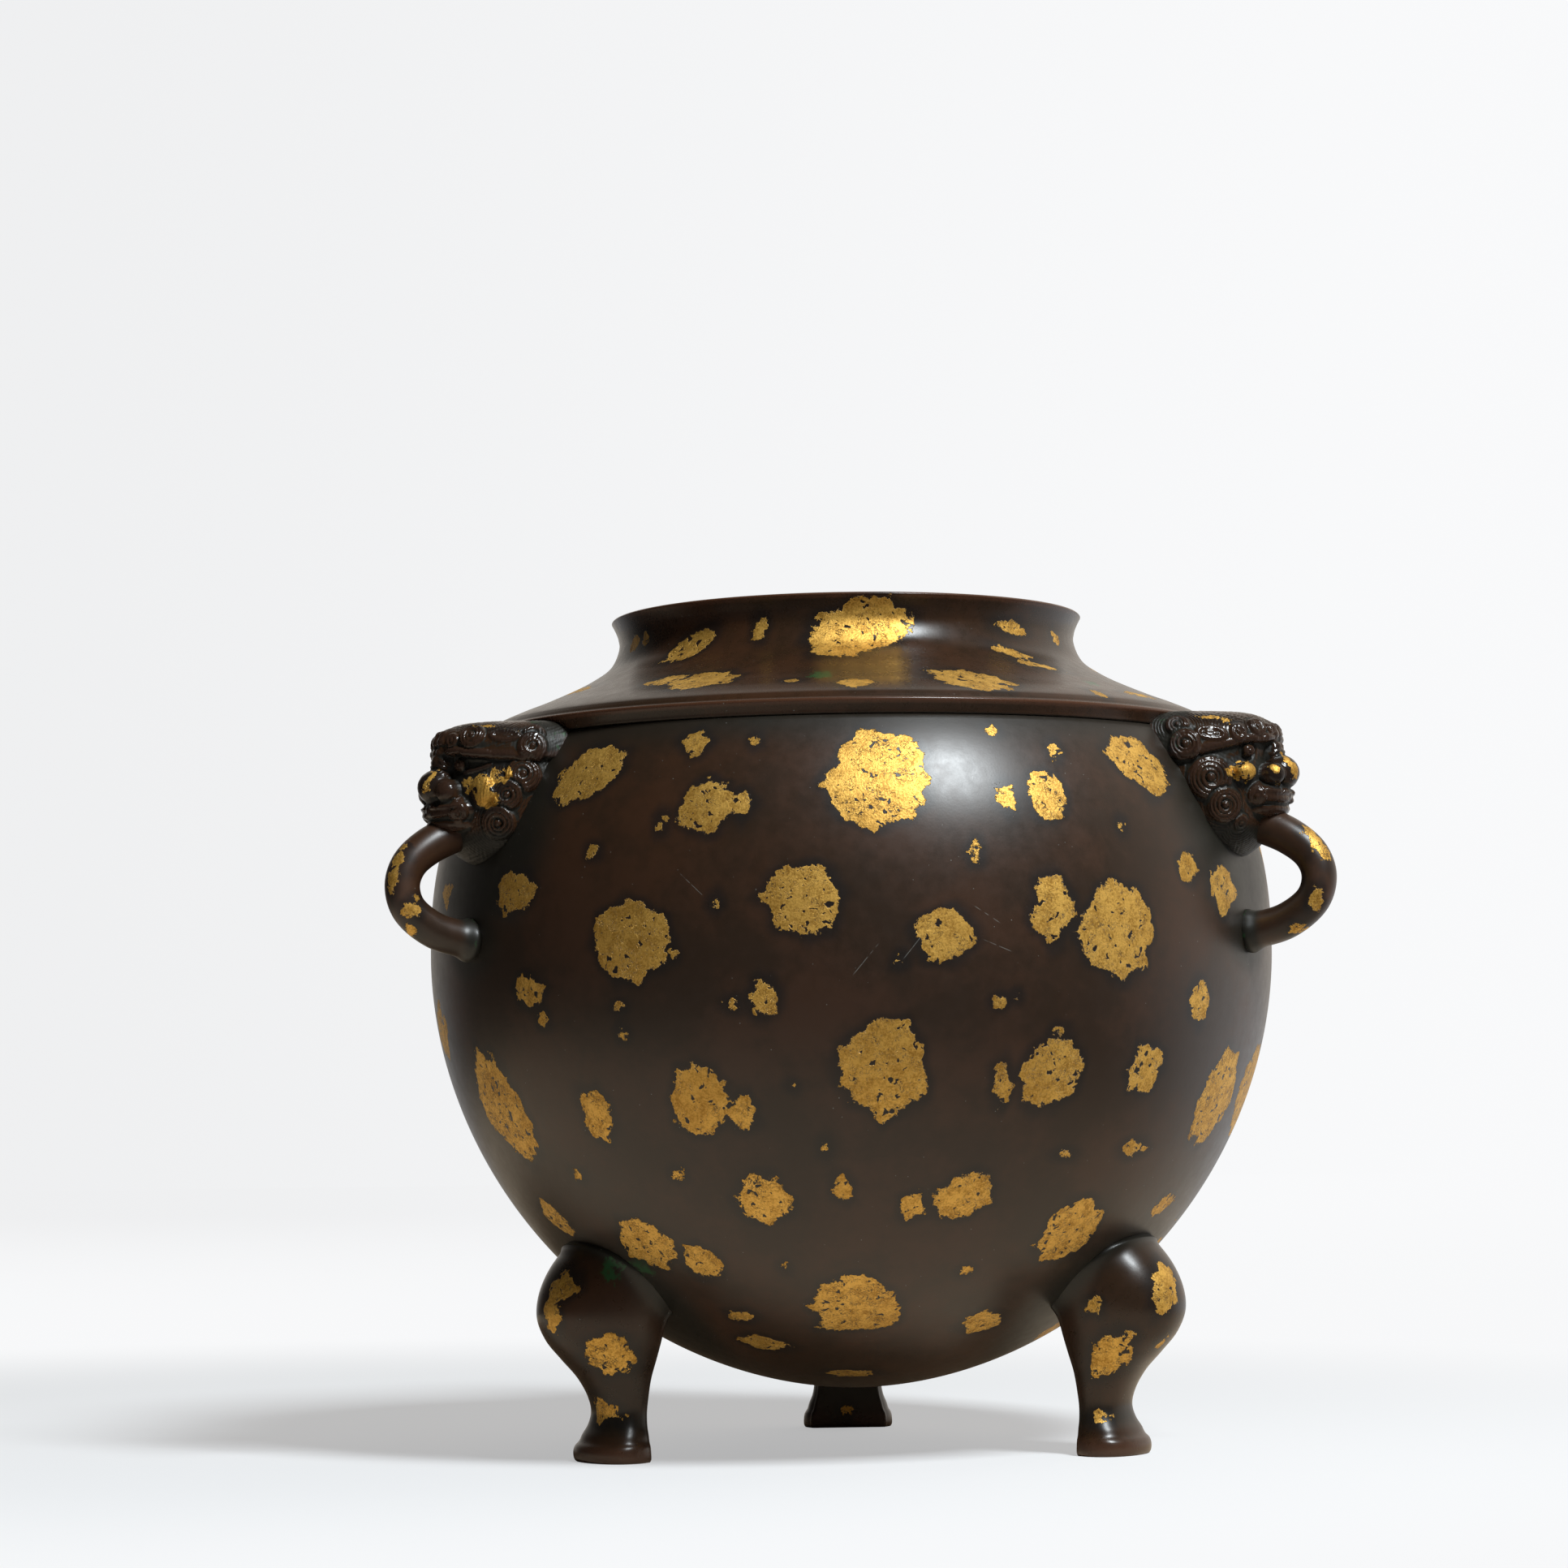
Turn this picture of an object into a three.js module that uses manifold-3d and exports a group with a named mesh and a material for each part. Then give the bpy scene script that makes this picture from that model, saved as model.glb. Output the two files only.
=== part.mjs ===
// Tripod incense burner of cast and patinated bronze.
// A round bowl on three cabriole legs, with three lion masks that each hold a fixed loop handle.
// Millimetres, +Z up. The burner stands on z = 0, and the middle of the box around it is on the Z axis.

import * as THREE from 'three';
import { mergeVertices } from 'three/addons/utils/BufferGeometryUtils.js';
import Module from 'manifold-3d';

// Bowl
const bellyRadius = 90;
const bellyWidestHeight = 105;
const bellyDrop = 92.4;
const bellyRise = 72;
const bellyDropRoundness = 1.94;
const bellyRiseRoundness = 2.4;
const wall = 3.6;
const bodySegments = 44;

// Ledge, shoulder, neck and lip
const ledgeHeight = 152.4;
const ledgeFace = 3.2;
const ledgeOverhang = 1.6;
const neckRadius = 49;
const neckHeight = 171.4;
const rimRadius = 50.6;
const rimHeight = 177;
const rimWidth = 3.2;
const rimRounding = 0.5;

// Legs, one under each handle
const legAzimuths = [210, 330, 90];
const footInset = 30;
const footHalfWidth = 10;
const footBack = 5;
const footFront = 6.1;
const soleThickness = 2.6;
const ankleHeight = 9;
const ankleHalfWidth = 7.6;
const ankleBack = 5;
const ankleFront = 2.9;
const kneeHeight = 30.5;
const kneeHalfWidth = 12;
const kneeBack = 8.8;
const kneeFront = 15.7;
const legSquareness = 2.15;
const legPegRadius = 4;

// Handles, set by hand, so two of them stand a little off their legs
const handleTurns = [-1.7, 3.9, 0];
const maskDrop = 15.4;
const maskReach = 17;
const maskHalfWidth = 15.4;
const maskHalfHeight = 14.4;
const loopRadius = 3.85;
const loopRootRadius = 3.9;
const loopFootRadius = 3.6;
const loopReach = 21.1;
const loopFootDrop = 30;
const loopPegRadius = 2.2;
const pinRadius = 2.2;
const pinHeadRadius = 4.2;
const pinHeadHeight = 1.6;
const pinDepth = 7;

// Space kept between pieces that touch
const clearance = 0.3;

const wasm = await Module();
wasm.setup();
const { sin, cos, atan2, abs, sign, hypot, PI } = Math;
const { lerp, degToRad, clamp } = THREE.MathUtils;

// Solids from meshes

function solidOf(geometry) {
  const bare = geometry.clone();
  bare.deleteAttribute('normal');
  bare.deleteAttribute('uv');
  const merged = mergeVertices(bare, 1e-4);
  const corners = merged.index.array;
  const triVerts = [];
  for (let i = 0; i < corners.length; i += 3) {
    const [a, b, c] = [corners[i], corners[i + 1], corners[i + 2]];
    if (a !== b && b !== c && c !== a) triVerts.push(a, b, c);
  }
  const vertProperties = new Float32Array(merged.attributes.position.array);
  const mesh = new wasm.Mesh({ numProp: 3, vertProperties, triVerts: new Uint32Array(triVerts) });
  return new wasm.Manifold(mesh);
}

function geometryOf(solid) {
  const mesh = solid.getMesh();
  const geometry = new THREE.BufferGeometry();
  geometry.setAttribute('position', new THREE.BufferAttribute(new Float32Array(mesh.vertProperties), 3));
  geometry.setIndex(new THREE.BufferAttribute(new Uint32Array(mesh.triVerts), 1));
  return geometry;
}

// A skin over rings of points, closed by a fan at each end. Each ring runs anticlockwise
// as seen from the last ring.
function loft(rings) {
  const count = rings[0].length;
  const positions = rings.flat().flatMap((p) => [p.x, p.y, p.z]);
  const index = [];
  for (let k = 0; k + 1 < rings.length; k++) {
    for (let i = 0; i < count; i++) {
      const [a, b] = [k * count + i, k * count + ((i + 1) % count)];
      index.push(a, b, b + count, a, b + count, a + count);
    }
  }
  const last = (rings.length - 1) * count;
  for (let i = 1; i + 1 < count; i++) {
    index.push(0, i + 1, i);
    index.push(last, last + i, last + i + 1);
  }
  const geometry = new THREE.BufferGeometry();
  geometry.setAttribute('position', new THREE.Float32BufferAttribute(positions, 3));
  geometry.setIndex(index);
  return solidOf(geometry);
}

// A bar with an elliptical section along a curve. halfSize gives the section's half size
// along axis and square to it, at each share of the length.
function bar(points, axis, steps, sides, halfSize) {
  const curve = new THREE.CatmullRomCurve3(points.map((p) => new THREE.Vector3(...p)));
  const rings = [];
  for (let k = 0; k <= steps; k++) {
    const centre = curve.getPointAt(k / steps);
    const along = curve.getTangentAt(k / steps);
    const side = new THREE.Vector3().crossVectors(axis, along).normalize();
    const top = new THREE.Vector3().crossVectors(along, side);
    const [high, thick] = halfSize(k / steps);
    const ring = [];
    for (let i = 0; i < sides; i++) {
      const turn = (2 * PI * i) / sides;
      const point = centre.clone().addScaledVector(side, thick * cos(turn));
      ring.push(point.addScaledVector(top, high * sin(turn)));
    }
    rings.push(ring);
  }
  return loft(rings);
}

// A turned shape about the Z axis from a profile of [radius, height] that starts and ends on it.
function turned(profile, segments) {
  const geometry = new THREE.LatheGeometry(profile.map(([r, z]) => new THREE.Vector2(r, z)), segments);
  return solidOf(geometry.rotateX(PI / 2));
}

function placed(solid, matrix) {
  return solid.transform(matrix.elements);
}

// Turns +Z to point outwards: turn degrees round from +X, then tilt degrees up.
function facing(x, y, z, turn, tilt) {
  const frame = new THREE.Matrix4().makeTranslation(x, y, z);
  frame.multiply(new THREE.Matrix4().makeRotationZ(degToRad(turn)));
  return frame.multiply(new THREE.Matrix4().makeRotationY(degToRad(90 - tilt)));
}

function ball(halfX, halfY, halfZ, segments = 8) {
  const geometry = new THREE.SphereGeometry(1, segments, Math.round(segments / 2) + 1);
  return solidOf(geometry.rotateX(PI / 2).scale(halfX, halfY, halfZ));
}

function rod(radius, from, to, segments = 8) {
  const [start, end] = [new THREE.Vector3(...from), new THREE.Vector3(...to)];
  const length = start.distanceTo(end);
  const geometry = new THREE.CylinderGeometry(radius, radius, length, segments);
  const way = new THREE.Vector3().subVectors(end, start).normalize();
  geometry.applyQuaternion(new THREE.Quaternion().setFromUnitVectors(new THREE.Vector3(0, 1, 0), way));
  return solidOf(geometry.translate(...start.add(end).multiplyScalar(0.5).toArray()));
}

const upwards = new THREE.Vector3(0, 0, 1);
const sideways = new THREE.Vector3(0, 1, 0);
const joined = (solids) => wasm.Manifold.union(solids);
const mirrored = (solid) => solid.mirror([0, 1, 0]);
const bothSides = (solid) => [solid, mirrored(solid)];

// The bowl's outside, a superellipse above its widest level and another below it

function bellyRadiusAt(z) {
  const above = z > bellyWidestHeight;
  const reach = above ? bellyRise : bellyDrop;
  const roundness = above ? bellyRiseRoundness : bellyDropRoundness;
  const share = clamp(abs(z - bellyWidestHeight) / reach, 0, 1);
  return bellyRadius * (1 - share ** roundness) ** (1 / roundness);
}

// The height at which the lower bowl has a given radius.
function bellyHeightAt(radius) {
  const share = clamp(radius / bellyRadius, 0, 1);
  return bellyWidestHeight - bellyDrop * (1 - share ** bellyDropRoundness) ** (1 / bellyDropRoundness);
}

// How far the outward normal leans up at a height of the bowl.
function bellyLean(z) {
  const step = 0.01;
  return atan2(bellyRadiusAt(z - step) - bellyRadiusAt(z + step), 2 * step);
}

const ledgeFoot = ledgeHeight - ledgeFace;
const ledgeRadius = bellyRadiusAt(ledgeFoot) + ledgeOverhang;

// The shoulder's line, as shares of the way in from ledge to neck and of the way up.
const shoulderLine = [[0, 0], [0.05, 0.08], [0.22, 0.19], [0.42, 0.31], [0.76, 0.56], [0.935, 0.76], [1, 1]];

// It rolls over the ledge's edge and then rises to the neck in one hollow curve.
function shoulder(count) {
  const curve = new THREE.SplineCurve(shoulderLine.map(([inwards, up]) => new THREE.Vector2(
    lerp(ledgeRadius, neckRadius, inwards),
    lerp(ledgeHeight, neckHeight, up)
  )));
  return curve.getPoints(count).map((point) => [point.x, point.y]);
}

// The belly from its lowest point up to a height, in equal turns of its curve.
function belly(top, count) {
  const topShare = (top - bellyWidestHeight) / bellyRise;
  const lastTurn = Math.asin(topShare ** (bellyRiseRoundness / 2));
  const points = [[0, bellyWidestHeight - bellyDrop]];
  for (let i = 1; i <= count; i++) {
    const turn = lerp(-PI / 2, lastTurn, i / count);
    const [reach, roundness] = turn > 0 ? [bellyRise, bellyRiseRoundness] : [bellyDrop, bellyDropRoundness];
    const rise = reach * abs(sin(turn)) ** (2 / roundness);
    points.push([bellyRadius * cos(turn) ** (2 / roundness), bellyWidestHeight + sign(turn) * rise]);
  }
  return points;
}

const ledgeBevel = 0.4;
const outerProfile = () => [...belly(ledgeFoot, 14), [ledgeRadius, ledgeFoot + ledgeBevel], ...shoulder(6)];

// A profile moved outwards by a gap, with its corners kept sharp.
function grownProfile(profile, gap) {
  const normals = profile.slice(1).map(([r, z], i) => {
    const [dr, dz] = [r - profile[i][0], z - profile[i][1]];
    return [dz / hypot(dr, dz), -dr / hypot(dr, dz)];
  });
  return profile.map(([r, z], i) => {
    const [ar, az] = normals[Math.max(i - 1, 0)];
    const [br, bz] = normals[Math.min(i, normals.length - 1)];
    const share = gap / (1 + ar * br + az * bz);
    return [r + share * (ar + br), z + share * (az + bz)];
  });
}

// The whole outside as a filled solid, grown by the clearance, to shape what sits against the bowl.
function bowlFilled() {
  const grown = grownProfile(outerProfile(), clearance);
  const [bottom, top] = [grown[0][1], grown[grown.length - 1][1]];
  return turned([[0, bottom], ...grown.slice(1), [0, top]], bodySegments);
}

const lipFlare = 0.6;
const lipFlareHeight = 2.4;

function bowlShell() {
  const lipEdge = [
    [rimRadius - lipFlare, rimHeight - lipFlareHeight],
    [rimRadius, rimHeight - rimRounding],
    [rimRadius - rimRounding, rimHeight]
  ];
  const innerTop = ledgeFoot - 1.5 * wall;
  const inside = grownProfile([...belly(innerTop, 7), ...shoulder(4).slice(1)], -wall);
  inside[0][0] = 0;
  inside.push([rimRadius - rimWidth, rimHeight]);
  return turned([...outerProfile(), ...lipEdge, ...inside.reverse()], bodySegments);
}

// Far enough inside the wall's outer face to pass right through it
const beyondWall = wall + 3;

// A rod square to the bowl's wall at a height, from a depth inside its outer face to one outside it.
function wallRod(radius, z, inside, outside) {
  const lean = bellyLean(z);
  const along = (d) => [bellyRadiusAt(z) + d * cos(lean), 0, z + d * sin(lean)];
  return rod(radius, along(-inside), along(outside));
}

// Legs. Each level of a leg has its height, how far its flat back and its rounded front stand
// from the foot's middle, its half width, and the share of that width at the back corners.

const footRadius = bellyRadius - footInset;
const legTopForward = 7;
const legRoot = 1.5;
const legTop = bellyHeightAt(footRadius + legTopForward);
const legLevels = [
  [0, footBack, 0.95 * footFront, 0.97 * footHalfWidth, 0.86],
  [soleThickness, footBack, footFront, footHalfWidth, 0.86],
  [
    lerp(soleThickness, ankleHeight, 0.47),
    ankleBack,
    lerp(ankleFront, footFront, 0.3),
    lerp(ankleHalfWidth, footHalfWidth, 0.4),
    0.88
  ],
  [ankleHeight, ankleBack, ankleFront, ankleHalfWidth, 0.9],
  [
    lerp(ankleHeight, kneeHeight, 0.38),
    lerp(ankleBack, kneeBack, 0.26),
    lerp(ankleFront, kneeFront, 0.23),
    lerp(ankleHalfWidth, kneeHalfWidth, 0.18),
    0.88
  ],
  [
    lerp(ankleHeight, kneeHeight, 0.73),
    lerp(ankleBack, kneeBack, 0.7),
    lerp(ankleFront, kneeFront, 0.84),
    lerp(ankleHalfWidth, kneeHalfWidth, 0.77),
    0.8
  ],
  [kneeHeight, kneeBack, kneeFront, kneeHalfWidth, 0.76],
  [lerp(kneeHeight, legTop, 0.6), 1.17 * kneeBack, 0.86 * kneeFront, 0.975 * kneeHalfWidth, 0.74],
  [legTop + legRoot, 1.28 * kneeBack, 0.3 * kneeFront, 0.71 * kneeHalfWidth, 0.74]
];
const legRows = 12;
const legFrontSteps = 7;
const soleBevel = 0.3;

// A leg is a little squarer than an ellipse in plan.
const squared = (share) => sign(share) * abs(share) ** (2 / legSquareness);

function legRing([up, back, front, halfWidth, corner]) {
  const middle = lerp(-back, front, 0.42);
  const flank = [lerp(-back, middle, 0.5), halfWidth * lerp(corner, 1, 0.75)];
  const ring = [[-back, -corner * halfWidth], [flank[0], -flank[1]]];
  for (let i = 0; i <= legFrontSteps; i++) {
    const turn = degToRad(lerp(-90, 90, i / legFrontSteps));
    ring.push([middle + (front - middle) * squared(cos(turn)), halfWidth * squared(sin(turn))]);
  }
  ring.push(flank, [-back, corner * halfWidth]);
  return ring.map(([x, y]) => new THREE.Vector3(footRadius + x, y, up));
}

function legCurve(columns) {
  const points = legLevels.slice(1).map((level) => columns.map((column) => level[column]));
  return new THREE.CatmullRomCurve3(points.map((point) => new THREE.Vector3(...point)));
}

// Smooth sections between the levels, with the sole and its edge kept square.
function legSections() {
  const depths = legCurve([0, 1, 2]);
  const widths = legCurve([0, 3, 4]);
  const sections = [legLevels[0], [soleBevel, ...legLevels[1].slice(1)]];
  for (let k = 0; k <= legRows; k++) {
    const depth = depths.getPoint(k / legRows);
    const width = widths.getPoint(k / legRows);
    sections.push([depth.x, depth.y, depth.z, width.y, width.z]);
  }
  return sections;
}

const legPegHeight = bellyHeightAt(footRadius + 1);
const legPegRoot = 8;
const legPeg = (grow, inside) => wallRod(legPegRadius + grow, legPegHeight, inside, legPegRoot);

function leg(azimuth) {
  const body = loft(legSections().map(legRing));
  const seat = bowlFilled().rotate([0, 0, -azimuth]);
  return joined([body.subtract(seat), legPeg(0, wall)]);
}

// Lion masks. A feature's place is given as shares of the mask's reach, half width and half height,
// outwards, sideways and upwards from the seat at the middle of the mask's back.

const maskHeight = ledgeHeight - maskDrop;
const maskSeat = bellyRadiusAt(maskHeight);

function onMask([out, side, up]) {
  return [maskSeat + out * maskReach, side * maskHalfWidth, maskHeight + up * maskHalfHeight];
}

// The head from its beard up: height, half width and reach of each level.
const headLevels = [
  [-0.96, 0.36, 0.36],
  [-0.76, 0.72, 0.57],
  [-0.46, 0.92, 0.7],
  [-0.15, 1.02, 0.74],
  [0.16, 1.08, 0.74],
  [0.36, 1.06, 0.7],
  [0.56, 1.07, 0.72],
  [0.8, 1.03, 0.71],
  [1.03, 0.72, 0.36]
];
const headRoundness = 1.8;
const headBackDepth = 8;
const headBackWidth = 0.85;
const headSeatDepth = 1.5;
const headSteps = 8;

function headRing([up, wide, out]) {
  const z = maskHeight + up * maskHalfHeight;
  const back = bellyRadiusAt(z) - headSeatDepth;
  const front = maskSeat + out * maskReach;
  const halfWidth = wide * maskHalfWidth;
  const ring = [];
  for (let i = 0; i <= headSteps; i++) {
    const turn = degToRad(lerp(-90, 90, i / headSteps));
    const x = back + (front - back) * cos(turn) ** (2 / headRoundness);
    const y = halfWidth * sign(turn) * abs(sin(turn)) ** (2 / headRoundness);
    ring.push(new THREE.Vector3(x, y, z));
  }
  ring.push(new THREE.Vector3(back - headBackDepth, headBackWidth * halfWidth, z));
  ring.push(new THREE.Vector3(back - headBackDepth, -headBackWidth * halfWidth, z));
  return ring;
}

// The sizes of curls, lumps and ridges are shares of the mask's half height too.
const maskSized = (solid) => solid.scale(maskHalfHeight);

// A curl is a round boss with a raised rim and a knob in the middle.
const curlRoot = 0.15;
const curlRimHeight = 0.056;
const curlHollowHeight = 0.021;
const curlKnobHeight = 0.104;

function curl({ place, turn, tilt, radius, sides = 6 }) {
  const profile = [
    [0, -curlRoot],
    [radius, -curlRoot],
    [0.8 * radius, curlRimHeight],
    [0.5 * radius, curlHollowHeight],
    [0, curlKnobHeight]
  ];
  return placed(maskSized(turned(profile, sides)), facing(...onMask(place), turn, tilt));
}

const curls = [
  { place: [-0.02, 1.04, 0.6], turn: 64, tilt: 8, radius: 0.222, sides: 8 },
  { place: [0.5, 0.62, 0.78], turn: 46, tilt: 30, radius: 0.16 },
  { place: [0.13, 0.92, 0.05], turn: 64, tilt: 0, radius: 0.312, sides: 8 },
  { place: [0.28, 0.79, -0.32], turn: 60, tilt: -8, radius: 0.25, sides: 8 },
  { place: [0.34, 0.66, -0.66], turn: 56, tilt: -20, radius: 0.174 },
  { place: [0.62, 0.47, -0.25], turn: 50, tilt: -5, radius: 0.139 }
];

// A rounded lump. Its half sizes run outwards, sideways and upwards before it is turned.
function lump(place, halfX, halfY, halfZ, turn = 0, segments = 6) {
  return maskSized(ball(halfX, halfY, halfZ, segments)).rotate([0, 0, turn]).translate(onMask(place));
}

function ridge(places, steps, sides, halfSize) {
  const sized = (t) => halfSize(t).map((share) => share * maskHalfHeight);
  return bar(places.map(onMask), upwards, steps, sides, sized);
}

function brow() {
  const path = [
    [0.71, 0.06, 0.55],
    [0.62, 0.42, 0.57],
    [0.4, 0.72, 0.55],
    [0.16, 0.92, 0.51],
    [-0.06, 1.02, 0.48]
  ];
  return ridge(path, 4, 5, (t) => [lerp(0.132, 0.16, t), lerp(0.104, 0.09, t)]);
}

function ear() {
  const leaf = ball(0.118, 0.243, 0.104, 6);
  const hollow = ball(0.07, 0.188, 0.076, 5).translate([0, 0.021, 0.09]);
  return placed(maskSized(leaf.subtract(hollow)), facing(...onMask([0.18, 0.86, 0.8]), 62, 36));
}

function nose() {
  const tip = lump([0.79, 0, 0.15], 0.222, 0.25, 0.222, 0, 7);
  const bridge = ridge([[0.6, 0, 0.6], [0.7, 0, 0.46], [0.78, 0, 0.28]], 2, 5, () => [0.111, 0.18]);
  const wings = bothSides(lump([0.76, 0.34, 0.13], 0.153, 0.132, 0.139, 30));
  return [tip, bridge, ...wings];
}

// Half of a lip, from the mouth's corner to its middle, mirrored into the whole of it.
function lip(corner, bend, middle, halfSize) {
  const across = [corner, bend].map(([out, side, up]) => [out, -side, up]);
  return ridge([corner, bend, middle, across[1], across[0]], 4, 4, () => halfSize);
}

function mouth() {
  return [
    lip([0.6, 0.48, -0.18], [0.77, 0.27, -0.15], [0.83, 0, -0.12], [0.076, 0.083]),
    lip([0.6, 0.46, -0.33], [0.76, 0.25, -0.3], [0.81, 0, -0.28], [0.059, 0.076]),
    lump([0.72, 0, -0.43], 0.167, 0.25, 0.104)
  ];
}

function beardLock() {
  const path = [[0.66, 0.31, -0.5], [0.52, 0.4, -0.66], [0.36, 0.46, -0.8]];
  return ridge(path, 2, 5, (t) => [lerp(0.07, 0.035, t), lerp(0.07, 0.042, t)]);
}

function lionHead() {
  const eyeSocket = lump([0.54, 0.56, 0.4], 0.222, 0.132, 0.104, 120);
  const eyeball = lump([0.56, 0.52, 0.43], 0.104, 0.104, 0.097);
  const cheek = lump([0.5, 0.62, 0.14], 0.153, 0.18, 0.167, 50);
  const head = loft(headLevels.map(headRing)).subtract(joined(bothSides(eyeSocket)));
  const oneSide = [...curls.map(curl), brow(), ear(), eyeball, cheek, beardLock()];
  return joined([head, ...oneSide, ...oneSide.map(mirrored), ...nose(), ...mouth()]);
}

// Loop handle. It runs in the upright plane through the mask's middle, out of the jaw and back
// into the bowl, as shares of its reach outwards and its drop downwards.

const loopFootHeight = maskHeight - loopFootDrop;
const loopFootSeat = bellyRadiusAt(loopFootHeight);
const loopPath = [
  [0.34, 0.25],
  [0.7, 0.36],
  [0.92, 0.49],
  [1, 0.633],
  [0.93, 0.79],
  [0.66, 0.935],
  [0.32, 0.995]
];
const loopSteps = 12;
const loopSides = 8;
const loopFootDepth = 1.5;

function loopBar(grow) {
  const points = loopPath.map(([out, down]) => [
    maskSeat + out * loopReach,
    0,
    maskHeight - down * loopFootDrop
  ]);
  points.push([loopFootSeat - loopFootDepth, 0, loopFootHeight]);
  points[0][0] -= 2 * grow;
  const radiusAt = (t) => (t < 0.5
    ? lerp(loopRootRadius, loopRadius, 2 * t)
    : lerp(loopRadius, loopFootRadius, 2 * t - 1));
  return bar(points, sideways, loopSteps, loopSides, (t) => [radiusAt(t) + grow, radiusAt(t) + grow]);
}

const loopPegRoot = 4;
const loopPeg = (grow, inside) => wallRod(loopPegRadius + grow, loopFootHeight, inside, loopPegRoot);

function loopHandle(seat) {
  return joined([loopBar(0).subtract(seat), loopPeg(0, wall)]);
}

// The pin that holds a mask, with its riveted head inside the bowl
const pinDrop = 3;
const pinHeight = maskHeight - pinDrop;

function pin() {
  const lean = THREE.MathUtils.radToDeg(bellyLean(pinHeight));
  const underHead = -wall - clearance;
  const profile = [
    [0, underHead - pinHeadHeight],
    [0.55 * pinHeadRadius, underHead - 0.85 * pinHeadHeight],
    [0.9 * pinHeadRadius, underHead - 0.55 * pinHeadHeight],
    [pinHeadRadius, underHead],
    [pinRadius, underHead],
    [pinRadius, pinDepth],
    [0, pinDepth]
  ];
  const seat = [bellyRadiusAt(pinHeight), 0, pinHeight];
  return placed(turned(profile, 9), facing(...seat, 0, lean));
}

const pinHole = () => wallRod(pinRadius + clearance, pinHeight, beyondWall, pinDepth + clearance);
const pinSeat = () => wallRod(pinHeadRadius + clearance, pinHeight, beyondWall, -wall);

// The whole burner

const metal = (color, roughness) => new THREE.MeshStandardMaterial({ color, metalness: 0.85, roughness });
const bronze = () => metal(0x3b2a20, 0.42);
const rubbedBronze = () => metal(0x4a3022, 0.38);

function named(name, solid, material, azimuth = 0) {
  const mesh = new THREE.Mesh(geometryOf(solid), material);
  mesh.name = name;
  mesh.rotation.z = degToRad(azimuth);
  return mesh;
}

const burner = new THREE.Group();
const bodyHoles = [];
const lion = lionHead();

['left', 'right', 'back'].forEach((place, i) => {
  const legAzimuth = legAzimuths[i];
  const handleAzimuth = legAzimuth + handleTurns[i];
  bodyHoles.push(legPeg(clearance, beyondWall).rotate([0, 0, legAzimuth]));
  bodyHoles.push(loopPeg(clearance, beyondWall).rotate([0, 0, handleAzimuth]));
  bodyHoles.push(joined([pinHole(), pinSeat()]).rotate([0, 0, handleAzimuth]));
  const seat = bowlFilled().rotate([0, 0, -handleAzimuth]);
  const mask = lion.subtract(joined([seat, loopBar(clearance), pinHole()]));
  burner.add(named(`leg_${place}`, leg(legAzimuth), bronze(), legAzimuth));
  burner.add(named(`lion_mask_${place}`, mask, bronze(), handleAzimuth));
  burner.add(named(`loop_handle_${place}`, loopHandle(seat), rubbedBronze(), handleAzimuth));
  burner.add(named(`mask_pin_${place}`, pin(), rubbedBronze(), handleAzimuth));
});
burner.add(named('vessel_body', bowlShell().subtract(joined(bodyHoles)), bronze()));

// The back handle makes the box around the burner longer at the back, so the bowl's axis moves forward.
burner.updateMatrixWorld(true);
const middle = new THREE.Box3().setFromObject(burner, true).getCenter(new THREE.Vector3());
burner.position.set(-middle.x, -middle.y, 0);

export default burner;
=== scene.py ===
# %% [markdown]
# # A tripod incense burner with gold splashes
# The burner is a bronze bowl on three short cabriole legs, with three lion masks that each hold a
# fixed loop handle. The solid model gives every place and size. This script dresses it: finer
# surfaces where the solids are faceted, and materials for the dark patina, the matt gold splashes
# and the worn edges.

# %% The solid model is loaded as the frame
import bpy
import numpy as np
from mathutils import Matrix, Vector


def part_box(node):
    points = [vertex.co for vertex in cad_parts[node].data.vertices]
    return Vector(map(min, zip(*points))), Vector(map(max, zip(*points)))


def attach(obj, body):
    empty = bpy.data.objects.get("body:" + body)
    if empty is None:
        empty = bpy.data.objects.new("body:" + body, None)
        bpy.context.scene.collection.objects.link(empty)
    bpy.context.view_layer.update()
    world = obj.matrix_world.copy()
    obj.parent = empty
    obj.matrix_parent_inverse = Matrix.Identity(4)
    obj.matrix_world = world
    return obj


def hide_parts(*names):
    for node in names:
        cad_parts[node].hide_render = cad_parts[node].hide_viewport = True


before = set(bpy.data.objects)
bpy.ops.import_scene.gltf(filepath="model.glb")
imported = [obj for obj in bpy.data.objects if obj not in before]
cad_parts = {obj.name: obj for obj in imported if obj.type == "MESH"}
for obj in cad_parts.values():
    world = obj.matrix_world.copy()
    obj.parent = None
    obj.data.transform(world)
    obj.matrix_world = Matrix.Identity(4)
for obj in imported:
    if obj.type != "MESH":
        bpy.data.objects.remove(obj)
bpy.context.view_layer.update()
print("solids:", sorted(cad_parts))

# %% [markdown]
# Every surface below is worked out in millimetres round the bowl's own upright axis, because a
# founder measures a bowl that way. The last step of each piece moves it onto the solid model's axis
# and turns the millimetres into metres.

# %% The bowl's axis and the directions round it
body_low, body_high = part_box("vessel_body")
axis_place = np.array([(body_low.x + body_high.x) / 2, (body_low.y + body_high.y) / 2, 0.0])
belly_radius = (axis_place[1] - body_low.y) * 1000
leg_turns = {"left": 210.0, "right": 330.0, "back": 90.0}
handle_turns = {"left": 208.3, "right": 333.9, "back": 90.0}


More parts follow.
